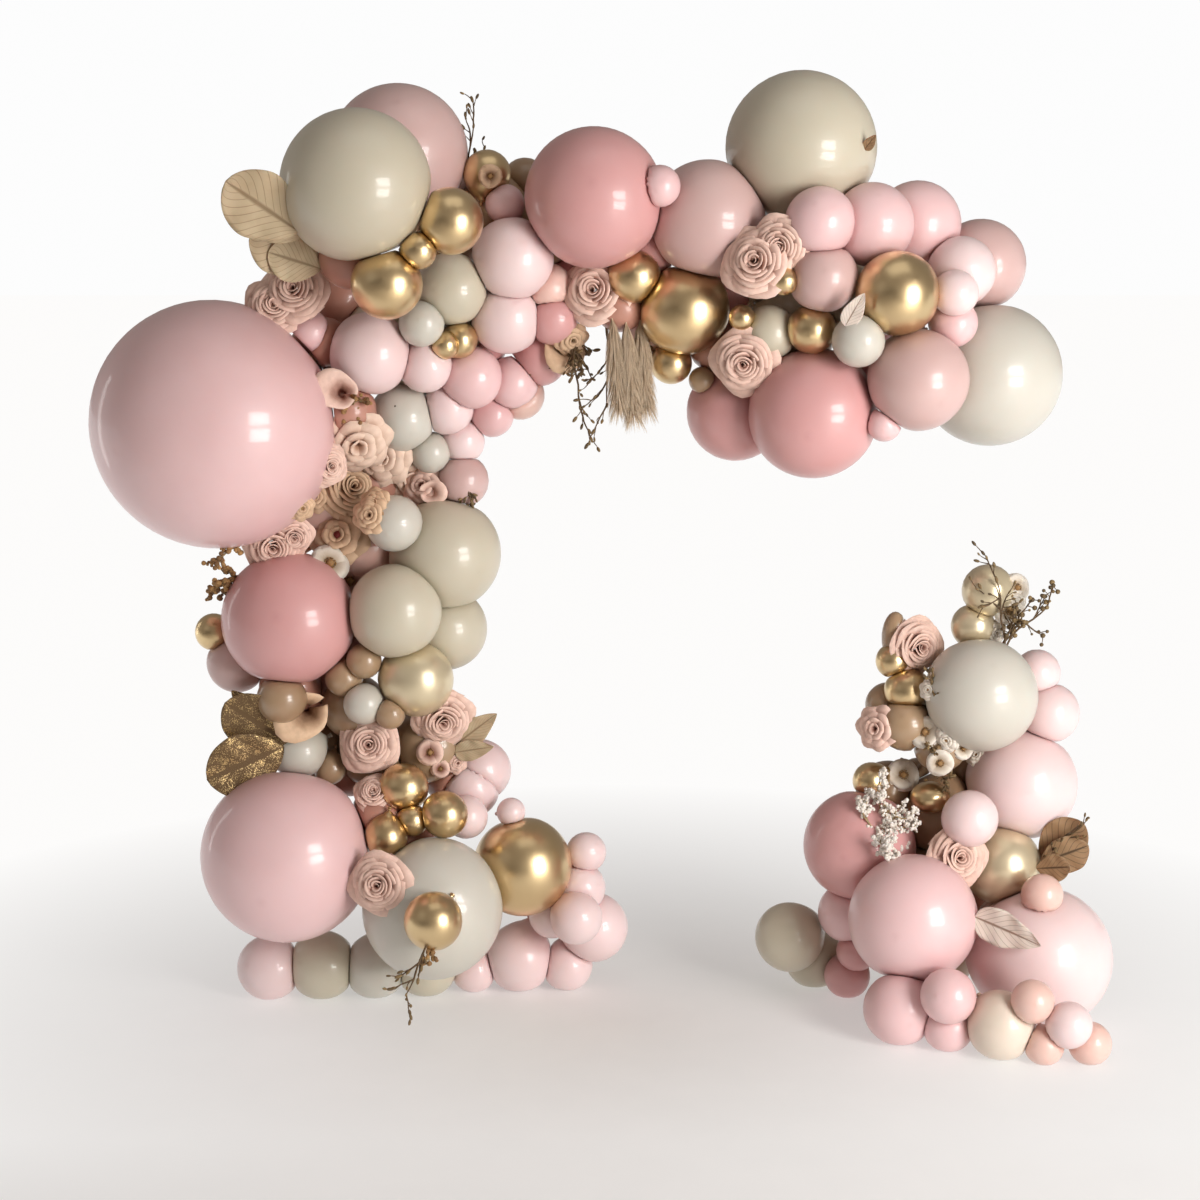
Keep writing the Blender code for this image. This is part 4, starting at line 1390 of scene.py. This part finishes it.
def ribs_of(finish):
    """One on the middle rib and on the ribs that slant off it, and nothing between them."""
    wave = finish.node("ShaderNodeMath", {"operation": "SINE"}, {0: finish.value("row") * math.pi})
    slanting = finish.node("ShaderNodeMath", {"operation": "ABSOLUTE"}, {0: wave})
    fine = finish.slope(slanting, *SLANTING_RIB) * SLANTING_SHADE
    middle = finish.slope(finish.value("aside"), *MIDDLE_RIB)
    return finish.node("ShaderNodeMath", {"operation": "MAXIMUM"}, {0: fine, 1: middle})


def leaf_paper(name, rib, blade):
    finish = Finish(name, subsurface_weight=0.10, subsurface_scale=0.004)
    ribs = ribs_of(finish)
    mottle = finish.noise(40.0, 4.0)
    finish.feed("Base Color", finish.mix(ribs + (mottle - 0.5) * 0.6, blade, rib))
    grain = finish.noise(300.0, 3.0)
    finish.feed("Roughness", grain * 0.2 + 0.55)
    finish.bump(grain * 0.3 + ribs, 0.4, 0.0008)
    return finish


def glitter(name):
    """Brown leaf with gold flecks between dark ribs."""
    finish = Finish(name)
    grains = finish.node("ShaderNodeTexVoronoi", {}, {
        "Vector": finish.place(), "Scale": 420.0,
    }, out="Distance")
    clumps = finish.noise(60.0, 3.0)
    fleck = finish.slope((clumps - grains) - ribs_of(finish), 0.10, 0.18)
    finish.feed("Metallic", fleck)
    finish.feed("Base Color", finish.mix(fleck, paint(104, 80, 50), paint(214, 184, 130)))
    finish.feed("Roughness", 0.75 - fleck * 0.45)
    finish.bump(grains, 0.6, 0.0008)
    return finish


LEAF_TAN = leaf_paper("dry_leaf", paint(140, 118, 88), paint(188, 168, 136))
LEAF_BROWN = leaf_paper("brown_leaf", paint(74, 54, 34), paint(150, 120, 86))
LEAF_PALE = leaf_paper("pale_leaf", paint(140, 116, 100), paint(216, 202, 190))
GLITTER = glitter("glitter_leaf")
print("leaf finishes", [each.material.name for each in (LEAF_TAN, LEAF_BROWN, LEAF_PALE, GLITTER)])

# %% Leaves
LEAF_THICKNESS = 0.0006
# The tip comes this much nearer to the camera than the foot, and the whole leaf this much
TIP_NEARER, LEAF_NEARER = 0.02, 0.004
# name, foot across and down, tip across and down, curl, ribs, round tip, finish
LEAVES = (
    ("leaf_fan_high", 300, 232, 226, 180, 0.06, 9, True, LEAF_TAN),
    ("leaf_fan_middle", 302, 238, 246, 196, -0.05, 9, True, LEAF_TAN),
    ("leaf_fan_low", 312, 262, 250, 232, 0.10, 9, True, LEAF_TAN),
    ("leaf_fan_under", 318, 270, 268, 252, 0.05, 9, True, LEAF_TAN),
    ("glitter_high", 288, 742, 226, 700, 0.08, 6, True, GLITTER),
    ("glitter_low", 284, 746, 208, 780, -0.05, 6, True, GLITTER),
    ("glitter_inner", 272, 730, 232, 690, 0.02, 6, False, GLITTER),
    ("leaf_waist_high", 455, 745, 497, 712, 0.10, 11, False, LEAF_TAN),
    ("leaf_waist_low", 455, 752, 494, 746, 0.04, 11, False, LEAF_TAN),
    ("leaf_span", 845, 326, 864, 292, 0.08, 8, False, LEAF_PALE),
    ("leaf_side_long", 974, 916, 1042, 944, 0.08, 8, False, LEAF_PALE),
    ("leaf_side_short", 978, 912, 1034, 916, -0.04, 8, False, LEAF_PALE),
    ("leaf_brown_high", 1044, 858, 1082, 820, 0.10, 7, True, LEAF_BROWN),
    ("leaf_brown_middle", 1040, 862, 1088, 846, -0.05, 7, True, LEAF_BROWN),
    ("leaf_brown_low", 1036, 868, 1070, 866, 0.05, 7, True, LEAF_BROWN),
    ("leaf_top_right", 864, 150, 876, 134, 0.10, 5, False, LEAF_BROWN),
)
for number, (name, *line, curl, ribs, round_tip, finish) in enumerate(LEAVES):
    foot, tip, outward = foot_and_tip(*line, TIP_NEARER)
    way = tip - foot
    chance = np.random.default_rng(1200 + number)
    points, faces, rows, aside = leaf_form(curl, ribs, round_tip, chance)
    axis_x = way / np.linalg.norm(way)
    axis_z = FORWARD - axis_x * (FORWARD @ axis_x) + np.array((0, 0, 0.2 * chance.uniform(-1, 1)))
    axis_z -= axis_x * (axis_z @ axis_x)
    axis_z /= np.linalg.norm(axis_z)
    axes = np.array([axis_x, np.cross(axis_z, axis_x), axis_z])
    placed = points @ axes * np.linalg.norm(way) + foot + FORWARD * LEAF_NEARER
    leaf = as_piece(name, placed, faces, [finish], values={"row": rows, "aside": aside})
    thicken(leaf, LEAF_THICKNESS)
    hand_over(leaf)
print("leaves", len(LEAVES))

# %% [markdown]
